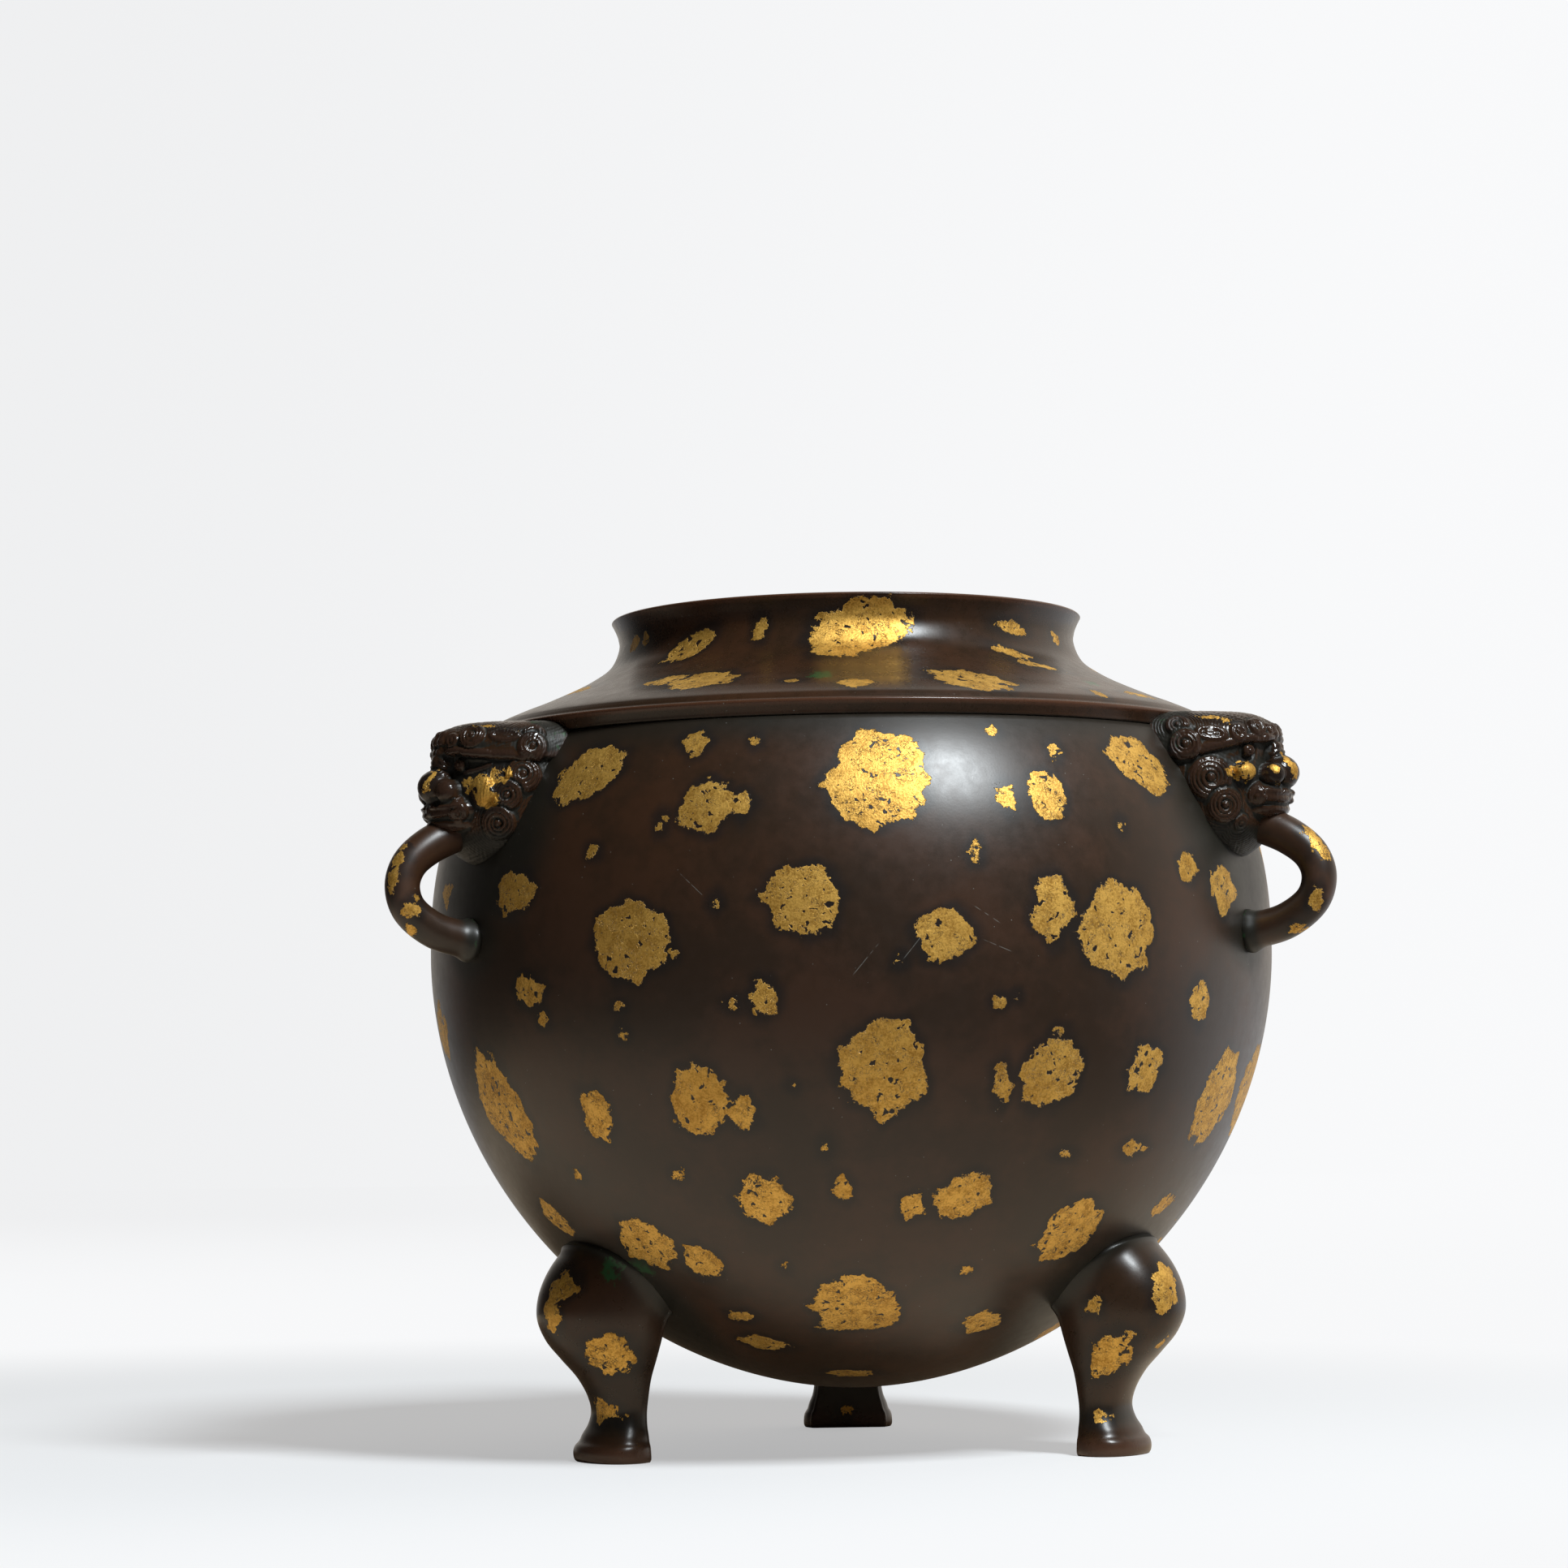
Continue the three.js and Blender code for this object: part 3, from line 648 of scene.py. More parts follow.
leg_grid, leg_gap = leg_points()
rows, around = leg_grid.shape[:2]
foot_centre = leg_grid[0].mean(0)
top_centre = seated(leg_grid[-1].mean(0)[None])[0]
# darker in a band round the ankle, and sooty dirt with painted shade where the leg meets the bowl
ankle_dark_band = 0.75 * np.exp(-(((leg_grid[..., 2] - 8.0) / 3.2) ** 2))
leg_soot_and_shade = np.maximum(np.exp(-np.clip(leg_gap, 0, None) / 4), ankle_dark_band)
leg_green = np.exp(-(np.linalg.norm(leg_grid - [66.0, 11.0, 39.5], axis=-1) / 4.5) ** 2)
legs = {}
for place, turn in leg_turns.items():
    gold = spot_field(leg_grid, leg_gold[place], 300 + len(place), 62.0)
    marks = {
        "gold": np.append(gold, [no_gold, no_gold]),
        "soot_and_shade": np.append(leg_soot_and_shade, [0, 1]),
        "wear": np.append(1 - smoothstep(0.5, 6.0, leg_grid[..., 2]), [1, 0]),
        "green": np.append(leg_green if place == "left" else 0 * leg_green, [0, 0]),
    }
    points = np.concatenate([leg_grid.reshape(-1, 3), [foot_centre, top_centre]])
    legs[place] = make_piece(
        f"{place}_leg",
        stand_at(points, turn),
        rows,
        around,
        [f"leg_{place}"],
        marks,
    )

# %% [markdown]
# Each handle is a rod bent from the lion's mouth out, down and back to the belly. It is round, a
# little thinner at its foot, and a ragged collar of solder sits where it meets the bowl.

# %% The loop handles
loop_line = spaced(
    smooth_line(
        [(86.5, 130.6), (91.5, 129.5), (99.1, 126.2), (103.7, 122.3), (105.25, 118.0),
         (103.9, 113.3), (98.2, 108.95), (91.05, 107.15), (87.6, 106.9)],
    ),
    150,
)
loop_around = 36


def tube(line, radius, around):
    """A round rod along a line in the out-up plane: centre + r (cos t * normal + sin t * side)."""
    along = np.gradient(line, axis=0)
    along /= np.linalg.norm(along, axis=1)[:, None]
    normal = np.stack([along[:, 1], -along[:, 0]], -1)
    turn = np.arange(around) * 2 * np.pi / around
    out = line[:, 0:1] + radius[:, None] * np.cos(turn) * normal[:, 0:1]
    up = line[:, 1:2] + radius[:, None] * np.cos(turn) * normal[:, 1:2]
    side = radius[:, None] * np.sin(turn)
    return np.stack([out, side, up], -1)


loop_gold = {
    "left": [(107.4, 1.9, 121.9, 2.6, 8.9, -8), (105.1, 3.4, 113.0, 3.4, 3.3, 0),
             (104.1, 1.0, 108.5, 2.5, 2.3, 0)],
    "right": [(105.7, -2.1, 124.7, 3.2, 9.8, 20), (105.7, -3.2, 113.2, 2.3, 4.2, 0),
              (101.9, -1.6, 106.8, 2.4, 2.0, 0)],
    "back": [(107.2, 2.0, 120.0, 3.0, 8.0, -8), (102.0, -2.5, 109.0, 3.4, 3.2, 0)],
}
share = np.linspace(0, 1, len(loop_line))
thick = 3.85 - 0.25 * share + 0.12 * np.sin(share * 9.0)
foot = loop_line[:, 0]
collar = 0.9 * np.exp(-(((foot - 90.5) / 1.6) ** 2)) * (share > 0.6)
ripple = np.random.default_rng(8).normal(size=loop_around)
ripple = np.convolve(np.tile(ripple, 3), np.ones(5) / 5, "same")[loop_around:-loop_around]
loop_grid = tube(loop_line, thick, loop_around)
centre_grid = np.stack([loop_line[:, 0], 0 * share, loop_line[:, 1]], -1)[:, None]
swell = collar[:, None] * (1 + 0.35 * ripple[None, :])
loop_grid = centre_grid + (loop_grid - centre_grid) * (1 + swell / thick[:, None])[..., None]
loops = {}
for place, turn in handle_turns.items():
    points = np.concatenate([loop_grid.reshape(-1, 3), centre_grid[0], centre_grid[-1]])
    points = seated(points, 1.2)
    gold = spot_field(points, loop_gold[place], 500 + len(place), 103.0)
    foot_green = np.exp(-(((points[:, 0] - 90.3) / 1.3) ** 2)) * (points[:, 2] < 115)
    marks = {
        "gold": gold,
        # green crust at the solder, and sooty dirt with painted shade near the ends by mask and bowl
        "soot_and_shade": np.clip(1.2 * foot_green + smoothstep(96, 90, points[:, 0]), 0, 1),
        "wear": smoothstep(101, 108, points[:, 0]),
        "green": 0.5 * foot_green,
    }
    loops[place] = make_piece(
        f"{place}_loop",
        stand_at(points, turn),
        len(share),
        loop_around,
        [f"loop_handle_{place}"],
        marks,
    )

# %% [markdown]
# Each mask is held by a rivet through the bowl's wall. Its domed head shows inside the bowl.

# %% The rivets of the masks
shank_radius = 2.2
head_height = 1.6
rivet_head = [(1.2, 0.05), (2.4, 0.22), (3.4, 0.55), (4.05, 1.05), (4.2, 1.45), (4.1, head_height)]
rivet_around = 48
rivets = {}
for place in handle_turns:
    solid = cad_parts[f"mask_pin_{place}"].data
    corners = np.empty(3 * len(solid.vertices), np.float32)
    solid.vertices.foreach_get("co", corners)
    corners = (corners.reshape(-1, 3) - axis_place) * 1000
    reach = np.hypot(corners[:, 0], corners[:, 1])
    tip, end = corners[np.argmin(reach)], corners[np.argmax(reach)]
    axis = (end - tip) / np.linalg.norm(end - tip)
    across = np.cross([0, 0, 1], axis)
    across /= np.linalg.norm(across)
    upward = np.cross(axis, across)
    shank = [(shank_radius, head_height), (shank_radius, np.linalg.norm(end - tip))]
    outline = np.array([*rivet_head, *shank])
    turn = np.arange(rivet_around) * 2 * np.pi / rivet_around
    ring = np.cos(turn)[:, None] * across + np.sin(turn)[:, None] * upward
    points = tip + outline[:, 1, None, None] * axis + outline[:, 0, None, None] * ring
    points = np.concatenate([points.reshape(-1, 3), [tip, end]])
    rivets[place] = make_piece(
        f"{place}_mask_rivet",
        points,
        len(outline),
        rivet_around,
        [f"mask_pin_{place}"],
        {"gold": np.full(len(points), no_gold), "inside": np.ones(len(points))},
    )

# %% [markdown]
# The lion masks are the burner's finest work. On the real one each is a cast cap, chased with
# punches and gravers after casting. Here a plain domed cap is swept up through a few levels first.
# Then the big masses are raised out of it along its normals, and on their skin come the curls,
# ropes and lids, and last the cut lines. A height that is raised three times from a fresh skin
# each time keeps the small forms square to the big ones.

# %% The plain cap under a mask
mask_rows = 226
mask_columns = 396
mask_levels = np.array(
    [
        # height, half width, reach from the bowl's axis
        (122.4, 3.0, 88.6), (123.3, 5.5, 90.4), (126.1, 11.1, 93.4), (130.4, 14.2, 95.2),
        (134.8, 15.7, 96.0), (139.3, 16.6, 96.0), (142.2, 16.4, 95.6), (145.1, 16.5, 95.9),
        (148.2, 15.9, 95.6), (150.2, 14.6, 93.6), (151.4, 12.5, 90.8), (151.9, 9.0, 87.0),
        (152.0, 5.0, 81.0), (152.0, 1.5, 77.0),
    ]
)
cap_squareness = 1.8


def cap_skin():
    """Level outlines out = back + (reach - back) cos(t)^(2/n), side = half sin(t)^(2/n), where the
    back follows the bowl's own curve a little under its skin."""
    line = spaced(smooth_line(mask_levels), mask_rows)
    height, half, reach = (line[:, k : k + 1] for k in range(3))
    turn = np.radians(np.linspace(-90, 90, mask_columns))[None, :]
    side = half * power(np.sin(turn), 2 / cap_squareness)
    bowl = belly_radius_at(height)
    back = np.sqrt(bowl**2 - side**2) - 1.4
    out = back + (reach - bowl + 1.4) * np.cos(turn) ** (2 / cap_squareness)
    return np.stack([out, side, height + 0 * turn], -1)


def skin_normals(points):
    """Unit cross product of the steps along rows and columns, turned outwards."""
    normal = np.cross(np.gradient(points, axis=1), np.gradient(points, axis=0))
    normal /= np.linalg.norm(normal, axis=-1)[..., None] + 1e-12
    middle = normal[len(points) // 2, points.shape[1] // 2]
    return normal * np.sign(middle[0])


def folded(points):
    """Both halves of the face seen as one: (out, |side|, up)."""
    return points * [1, 0, 1] + np.abs(points) * [0, 1, 0]


class Skin:
    """A mask's surface while it is worked: its points, normals, and places on it."""

    def __init__(self, points):
        self.points = points
        self.normal = skin_normals(points)
        self.half = folded(points)
        self.lift = np.zeros(points.shape[:2])

    def raised(self):
        """The surface after its lift is worked in."""
        edge = smoothstep(0, 7, np.arange(mask_columns))
        edge = np.minimum(edge, edge[::-1])[None, :]
        return Skin(self.points + (self.lift * edge)[..., None] * self.normal)

    def local(self, place):
        """Forward and upward distances from a place, on the flat that touches the skin there."""
        place = np.asarray(place, float)
        step = np.linalg.norm(self.half - place, axis=-1)
        row, column = np.unravel_index(np.argmin(step), step.shape)
        here, normal = self.half[row, column], self.normal[row, column].copy()
        normal[1] = abs(normal[1])
        up = np.array([0, 0, 1.0]) - normal[2] * normal
        up /= np.linalg.norm(up)
        forward = np.cross(up, normal)
        forward *= np.sign(forward[0] - forward[1])
        offset = self.half - here
        return offset @ forward, offset @ up, offset @ normal

    def near(self, place):
        """Distances as above, with points far above or below the flat sent away."""
        x, y, depth = self.local(place)
        far = 50.0 * (np.abs(depth) > 4.5)
        return x + far, y, np.hypot(x + far, y)

    def mass(self, place, half_sizes, softness=0.8):
        """Raises the skin to the far side of an ellipsoid: the larger root of the ray along the
        normal, joined by a soft maximum."""
        size = np.array(half_sizes, float)
        start = (self.half - np.array(place, float)) / size
        normal = self.normal * np.where(self.points[..., 1:2] < 0, [1, -1, 1], [1, 1, 1])
        way = normal / size
        a = (way**2).sum(-1)
        b = (start * way).sum(-1)
        c = (start**2).sum(-1) - 1
        inside = b * b - a * c
        root = np.where(inside > 0, (-b + np.sqrt(np.maximum(inside, 0))) / a, -3.0)
        gap = np.clip(0.5 + 0.5 * (root - self.lift) / softness, 0, 1)
        blend = self.lift * (1 - gap) + root * gap + softness * gap * (1 - gap)
        self.lift = np.where(inside > 0, np.maximum(self.lift, blend), self.lift)

    def dome(self, place, wide, tall, rise, lean=0.0):
        """A round boss, or with a rise below zero a dimple: rise times the root of 1 - rho^2."""
        x, y, _ = self.near(place)
        turn = np.radians(lean)
        a = (x * np.cos(turn) + y * np.sin(turn)) / wide
        b = (y * np.cos(turn) - x * np.sin(turn)) / tall
        boss = abs(rise) * np.sqrt(np.clip(1 - a * a - b * b, 0, 1))
        if rise > 0:
            self.lift = np.where(boss > 0, np.maximum(self.lift, boss), self.lift)
        else:
            self.lift -= boss

    def along(self, path, width):
        """Distance to a smooth line over the skin, and the share of the way along it."""
        line = spaced(smooth_line(path, 8), 26)
        best = np.full(self.half.shape[:2], 99.0)
        way = np.zeros(self.half.shape[:2])
        for k in range(len(line) - 1):
            step = line[k + 1] - line[k]
            share = np.clip((self.half - line[k]) @ step / (step @ step), 0, 1)
            far = np.linalg.norm(self.half - line[k] - share[..., None] * step, axis=-1)
            way = np.where(far < best, (k + share) / (len(line) - 1), way)
            best = np.minimum(best, far)
        return best / width, way

    def rope(self, path, width, rise):
        """A rounded ridge along a line, thinner at its two ends."""
        far, way = self.along(path, width)
        ends = np.clip(6 * way, 0.3, 1) * np.clip(6 * (1 - way), 0.3, 1)
        self.lift = np.maximum(self.lift, rise * ends * np.sqrt(np.clip(1 - (far / ends) ** 2, 0, 1)))

    def cut(self, path, width, depth):
        """A graver's line: depth times a bell curve across the line."""
        far, way = self.along(path, width)
        ends = np.clip(5 * way, 0, 1) * np.clip(5 * (1 - way), 0, 1)
        self.lift -= depth * ends * np.exp(-(far**2) * 2)

    def curl(self, place, radius, way):
        """A snail curl on a low disc. Its grooves lie where turns (r / radius)^1.5 minus the share
        of a turn is a whole number, so the inner turn is broad and the outer ones are fine, and a
        smooth knob stands in the middle."""
        turns = np.clip(1.3 + 0.75 * radius, 2.0, 4.6)
        rise = np.clip(0.30 * radius, 0.5, 0.95)
        x, y, far = self.near(place)
        angle = np.arctan2(y, x) / (2 * np.pi)
        phase = turns * np.clip(far / radius, 0, 1.2) ** 1.5 - way * angle
        ridge = np.abs(np.sin(np.pi * phase)) ** 0.62
        disc = rise * (1 - smoothstep(0.82 * radius, 1.12 * radius, far))
        depth = 0.62 - 0.22 * smoothstep(0.3 * radius, 0.9 * radius, far)
        shape = disc * (1 - depth * (1 - ridge))
        core = 0.15 * radius + 0.22
        moat = np.exp(-(((far - core - 0.14) / 0.16) ** 2))
        shape -= 0.45 * rise * moat
        knob = rise * (0.25 + 0.85 * np.sqrt(np.clip(1 - (far / core) ** 2, 0, 1)))
        shape = np.where(far < core, knob, shape)
        inside = far < 1.12 * radius
        self.lift = np.where(inside, np.maximum(shape, self.lift * 0.5), self.lift)


plain_cap = cap_skin()
print("cap", plain_cap.shape, "reach", plain_cap[..., 0].max().round(2))

# %% [markdown]
# The two masks that face the camera were chased by hand, so they differ: the right one has two
# large mane curls and a brow that climbs to the front, and the left one has three mane curls and a
# level brow. Places are in millimetres: out from the bowl's axis, aside from the face's middle,
# and up.

# %% What is carved on each face
right_face = {
    "crown": 0.88,
    "nose": 139.4,
    "jaw": 0.4,
    "brow": [
        (78.6, 16.5, 142.0), (83.4, 15.7, 142.5), (86.0, 14.0, 143.4), (88.6, 12.3, 144.2),
        (91.0, 10.2, 144.9), (92.6, 8.6, 145.3), (95.6, 4.8, 145.8), (98.4, 0.5, 145.8),
    ],
    "curls": [
        ((81.0, 16.4, 149.2), 2.4, 1), ((82.7, 16.8, 144.9), 3.2, -1), ((92.4, 10.6, 147.3), 1.9, 1),
        ((95.3, 6.4, 149.0), 2.1, 1), ((97.1, 3.2, 148.9), 1.2, -1), ((87.4, 14.6, 137.9), 4.5, 1),
        ((89.8, 12.7, 132.3), 3.6, -1), ((92.4, 9.4, 128.4), 1.8, 1), ((95.2, 8.3, 133.8), 2.0, -1),
    ],
    "ear": ((87.7, 14.2, 147.4), 3.6, 1.6, -6),
    "eye": (94.0, 8.3, 143.6),
    "upper_lid": [(91.3, 10.2, 143.3), (92.9, 9.6, 144.7), (94.6, 7.4, 144.7), (95.3, 5.4, 143.4)],
    "lower_lid": [(90.4, 11.0, 143.2), (92.2, 10.0, 142.0), (94.0, 7.8, 141.6), (95.0, 5.2, 142.4)],
    "cheek": ((92.9, 9.3, 139.2), (2.2, 2.9, 2.1), 1.2),
    "wing": ((97.2, 4.2, 138.9), (2.6, 2.4, 2.4)),
}
left_face = {
    "crown": 0.74,
    "nose": 138.1,
    "jaw": -1.0,
    "brow": [
        (78.6, 16.8, 143.2), (83.4, 16.0, 143.2), (86.5, 13.7, 143.3), (89.8, 11.4, 143.7),
        (93.1, 8.9, 144.1), (95.5, 5.8, 144.5), (98.3, 0.5, 144.6),
    ],
    "curls": [
        ((82.9, 16.0, 148.9), 2.3, -1), ((83.7, 16.6, 145.9), 3.0, 1), ((93.6, 8.5, 148.5), 2.7, -1),
        ((96.8, 4.9, 147.8), 1.4, 1), ((85.5, 15.8, 140.2), 3.6, -1), ((88.3, 14.0, 135.8), 3.1, 1),
        ((89.8, 12.5, 130.0), 3.5, -1), ((96.2, 7.2, 132.1), 2.0, 1),
    ],
    "ear": ((88.5, 13.4, 148.4), 3.5, 1.5, 2),
    "eye": (94.6, 5.4, 142.4),
    "upper_lid": [(90.0, 11.3, 142.8), (91.6, 9.8, 143.2), (93.2, 7.6, 143.4), (94.8, 5.0, 143.6)],
    "lower_lid": [(89.8, 11.5, 142.6), (91.6, 9.8, 141.5), (93.2, 7.6, 140.9), (95.0, 4.6, 141.0)],
    "cheek": ((91.5, 9.6, 136.9), (1.9, 3.3, 3.4), 1.8),
    "wing": ((96.9, 3.8, 137.0), (2.6, 2.9, 2.6)),
}


def on_oval(x, y, long, wide, lean):
    """1 on the edge of a leaning oval, less inside it."""
    turn = np.radians(lean)
    a = (x * np.cos(turn) + y * np.sin(turn)) / long
    b = (y * np.cos(turn) - x * np.sin(turn)) / wide
    return np.hypot(a, b), b * wide


def big_masses(face):
    """The plain cap with its crown set, the brow stepped out, and forehead, snout, muzzle, chin and
    cheek raised."""
    cap = plain_cap.copy()
    cap[..., 2] = np.where(
        cap[..., 2] > 147, 147 + (cap[..., 2] - 147) * face["crown"], cap[..., 2]
    )
    skin = Skin(cap)
    brow = np.array(face["brow"])
    under_brow = np.interp(skin.half[..., 0], brow[:, 0], brow[:, 2])
    skin.lift += 1.15 * smoothstep(-0.35, 0.45, skin.half[..., 2] - under_brow)
    nose, jaw = face["nose"], face["jaw"]
    skin.mass((94.4, 0, 147.0), (2.6, 5.4, 3.0))
    skin.mass((95.0, 0, 142.8), (3.4, 3.0, 3.6))
    skin.mass((97.2, 0, nose), (4.2, 3.9, 3.7), 0.4)
    skin.mass(*face["wing"], 0.7)
    skin.mass((93.2, 0, 134.4 + jaw), (6.5, 8.4, 3.4))
    skin.mass((92.8, 0, 131.6 + jaw), (6.1, 7.0, 2.4))
    skin.mass(*face["cheek"])
    return skin.raised()


def small_forms(skin, face):
    """Curls, the brow's rolled edge, ears, eyes, lids, lips, wrinkles and forehead knobs."""
    nose, jaw = face["nose"], face["jaw"]
    skin.rope([(u, side, z + 0.7) for u, side, z in face["brow"]], 0.95, 0.7)
    for place, radius, way in face["curls"]:
        skin.curl(place, radius, way)
    place, long, wide, lean = face["ear"]
    skin.dome(place, long, wide, 0.8, lean)
    skin.dome(face["eye"], 1.65, 1.4, 1.3)
    skin.rope(face["upper_lid"], 0.45, 0.5)
    skin.rope(face["lower_lid"], 0.5, 0.55)
    upper, lower = 135.2 + jaw, 132.9 + jaw
    upper_lip = [
        (95.6, 8.4, upper + 0.5), (98.4, 6.2, upper), (99.8, 3.4, upper - 0.1), (100.2, 0, upper)
    ]
    lower_lip = [(95.8, 8.0, lower), (98.0, 6.0, lower), (99.2, 3.2, lower), (99.6, 0, lower)]
    skin.rope(upper_lip, 0.95, 0.55)
    skin.rope(lower_lip, 0.8, 0.5)
    for k in range(3):
        rise = nose + 2.3 + 1.0 * k
        wrinkle = [
            (94.9, 4.4, rise - 0.6), (96.8, 2.8, rise + 0.5), (98.2 - 0.3 * k, 0.4, rise + 1.4)
        ]
        skin.rope(wrinkle, 0.48, 0.45)
    for k in range(3):
        skin.dome((97.4, 1.3, 149.4 - 2.0 * k), 1.25, 1.0, 0.5)
    return skin.raised()


def cut_lines(skin, face):
    """The graver's work: ear hollows, pupils, mouth line, nostrils, beard lines, and the echo lines
    that flow round the curls."""
    jaw = face["jaw"]
    place, long, wide, lean = face["ear"]
    x, y, _ = skin.near(place)
    leaf, across = on_oval(x, y, long, wide, lean)
    skin.lift -= (1 - smoothstep(0.55, 0.8, leaf)) * (
        0.75 - 0.28 * np.abs(np.sin(np.pi * across / 0.5)) ** 0.7
    )
    far = skin.near(face["eye"])[2]
    skin.lift -= 0.3 * np.exp(-(((far - 0.5) / 0.13) ** 2))
    skin.lift -= 0.4 * np.exp(-(((far - 1.75) / 0.25) ** 2))
    line, nostril = 134.05 + jaw, face["wing"][0][2] - 1.6
    mouth = [(95.8, 8.4, line + 0.3), (98.2, 6.2, line), (99.6, 3.2, line), (100.0, 0, line)]
    under_nose = [
        (96.4, 7.4, nostril - 0.4), (98.4, 5.2, nostril - 0.9), (100.4, 0, nostril - 1.1)
    ]
    skin.cut(mouth, 0.4, 0.9)
    skin.cut(under_nose, 0.35, 0.5)
    skin.dome((98.8, 3.3, nostril), 0.7, 0.9, -0.7, -20)
    for k in range(8):
        low = 131.8 + jaw - 0.55 * k
        beard_line = [
            (98.6 - 0.3 * k, 4.4, low), (96.2, 7.0, low - 0.9), (93.0, 9.6, low - 2.2),
            (91.4, 10.8, low - 2.6),
        ]
        skin.cut(beard_line, 0.2, 0.2)
    for k in range(4):
        fan = 143.0 - 0.7 * k
        temple_line = [(91.4, 10.6, fan), (89.4, 12.4, fan - 0.2 * k), (87.2, 14.2, fan - 0.5 * k)]
        skin.cut(temple_line, 0.2, 0.3)
    echo = np.full(skin.half.shape[:2], 9.0)
    for place, radius, _ in face["curls"]:
        echo = np.minimum(echo, skin.near(place)[2] - radius)
    out, height = skin.half[..., 0], skin.half[..., 2]
    mane = np.maximum(
        smoothstep(93.8, 92.0, out) * smoothstep(142.5, 141.0, height), smoothstep(148.0, 149.0, height)
    )
    mane = np.maximum(mane, smoothstep(84.0, 82.0, out))
    mane = mane * smoothstep(0.15, 0.5, echo) * (0.35 + 0.65 * smoothstep(4.5, 1.5, echo))
    skin.lift += waves(skin.half, 9, 1.1, 0.025)
    drift = waves(skin.half, 3, 7.0, 0.25)
    skin.lift -= 0.19 * mane * (1 - np.abs(np.sin(np.pi * (echo / 0.6 + drift))) ** 0.6)
    return skin.raised()


def carved(face):
    """A plain cap worked up into one lion's face, in three passes."""
    return cut_lines(small_forms(big_masses(face), face), face)


faces = {"left": carved(left_face), "right": carved(right_face)}
faces["back"] = faces["right"]
for place, skin in faces.items():
    print(place, "mask reaches", skin.points[..., 0].max().round(2), "mm")


# %% The masks' marks and meshes
def softened(values, steps):
    """Mean over a square of neighbours, by running sums down the rows and then along them."""
    for _ in range(2):
        padded = np.pad(values, [(steps + 1, steps), (0, 0)], mode="edge")
        total = np.cumsum(padded, axis=0)
        width = 2 * steps + 1
        values = ((total[width:] - total[:-width]) / width).T
    return values


def hollows(skin):
    """How far a point lies under the mean of its neighbours, along the normal."""
    mean = np.stack([softened(skin.points[..., k], 6) for k in range(3)], -1)
    return ((mean - skin.points) * skin.normal).sum(-1)


mask_gold = {
    "left": [((92.2, 11.4, 135.6), 5.2, 5.0, 30), ((91.0, 12.0, 138.6), 2.9, 4.6, 50),
             ((93.9, 7.6, 138.4), 2.8, 2.8, 0), ((100.2, 2.3, 139.8), 1.7, 3.6, 25),
             ((90.0, 9.0, 150.4), 6.0, 1.1, 0)],
    "right": [((94.4, 10.8, 139.2), 5.2, 3.8, 0), ((98.6, 6.0, 139.5), 1.7, 2.7, 20),
              ((100.5, 1.5, 140.6), 1.8, 4.2, 25), ((87.4, 11.0, 150.8), 5.0, 1.4, 0)],
    "back": [((93.8, 11.0, 139.2), 4.0, 4.6, 30), ((100.6, 1.0, 138.6), 2.2, 2.6, 0)],
}
masks = {}
back_columns = 12
out_of_reach = 40.0
for place, turn in handle_turns.items():
    skin = faces[place]
    points = skin.points
    fill = np.linspace(1, 0, back_columns + 2)[None, 1:-1, None]
    chord = points[:, -1:] * fill + points[:, :1] * (1 - fill)
    bowl = belly_radius_at(points[:, :1, 2])
    chord[..., 0] = np.sqrt(bowl**2 - chord[..., 1] ** 2) - 2.3
    whole = np.concatenate([points, chord], 1)
    rows, around = whole.shape[:2]
    deep = hollows(skin)
    bare = np.zeros((rows, around))
    gold = np.full((rows, around), no_gold)
    for number, (spot, wide, tall, lean) in enumerate(mask_gold[place]):
        x, y, _ = skin.near(spot)
        far_side = skin.points[..., 1] * (1 if place == "left" else -1) < -0.3
        found = blotch_distance(x + out_of_reach * far_side, y, wide, tall, lean, 700 + number)
        gold[:, :mask_columns] = np.minimum(gold[:, :mask_columns], found)
    # sooty dirt and painted shade: in the hollows, under the chin and at the back by the ledge
    soot_and_shade = bare.copy()
    rim = np.minimum(np.arange(mask_columns), np.arange(mask_columns)[::-1])[None, :]
    skirt = smoothstep(130.5, 126.5, points[..., 2]) * smoothstep(98.0, 95.0, points[..., 0])
    rear = smoothstep(83.5, 80.5, points[..., 0]) * smoothstep(139.0, 142.0, points[..., 2])
    soot_and_shade[:, :mask_columns] = np.maximum(smoothstep(-0.03, 0.11, deep), np.maximum(skirt, rear))
    wear = bare.copy()
    wear[:, :mask_columns] = smoothstep(0.03, 0.20, -deep) * (1 - skirt)
    green = bare.copy()
    green[:, :mask_columns] = np.maximum(0.8 - 0.8 * smoothstep(3, 12, rim), 0.45 * rear)
    ends = [whole[0].mean(0), whole[-1].mean(0)]
    marks = {
        "gold": np.append(gold, [no_gold, no_gold]),
        "soot_and_shade": np.append(soot_and_shade, [1, 1]),
        "wear": np.append(wear, [0, 0]),
        "green": np.append(green, [1, 0]),
    }
    masks[place] = make_piece(
        f"{place}_lion_mask",
        stand_at(np.concatenate([whole.reshape(-1, 3), ends]), turn),
        rows,
        around,
        [f"lion_mask_{place}"],
        marks,
    )

# %% [markdown]
# Shader maths is written as ordinary sums. A small class holds one output of a node, and adding,
# multiplying or taking it from 1 adds the Math node that does it.

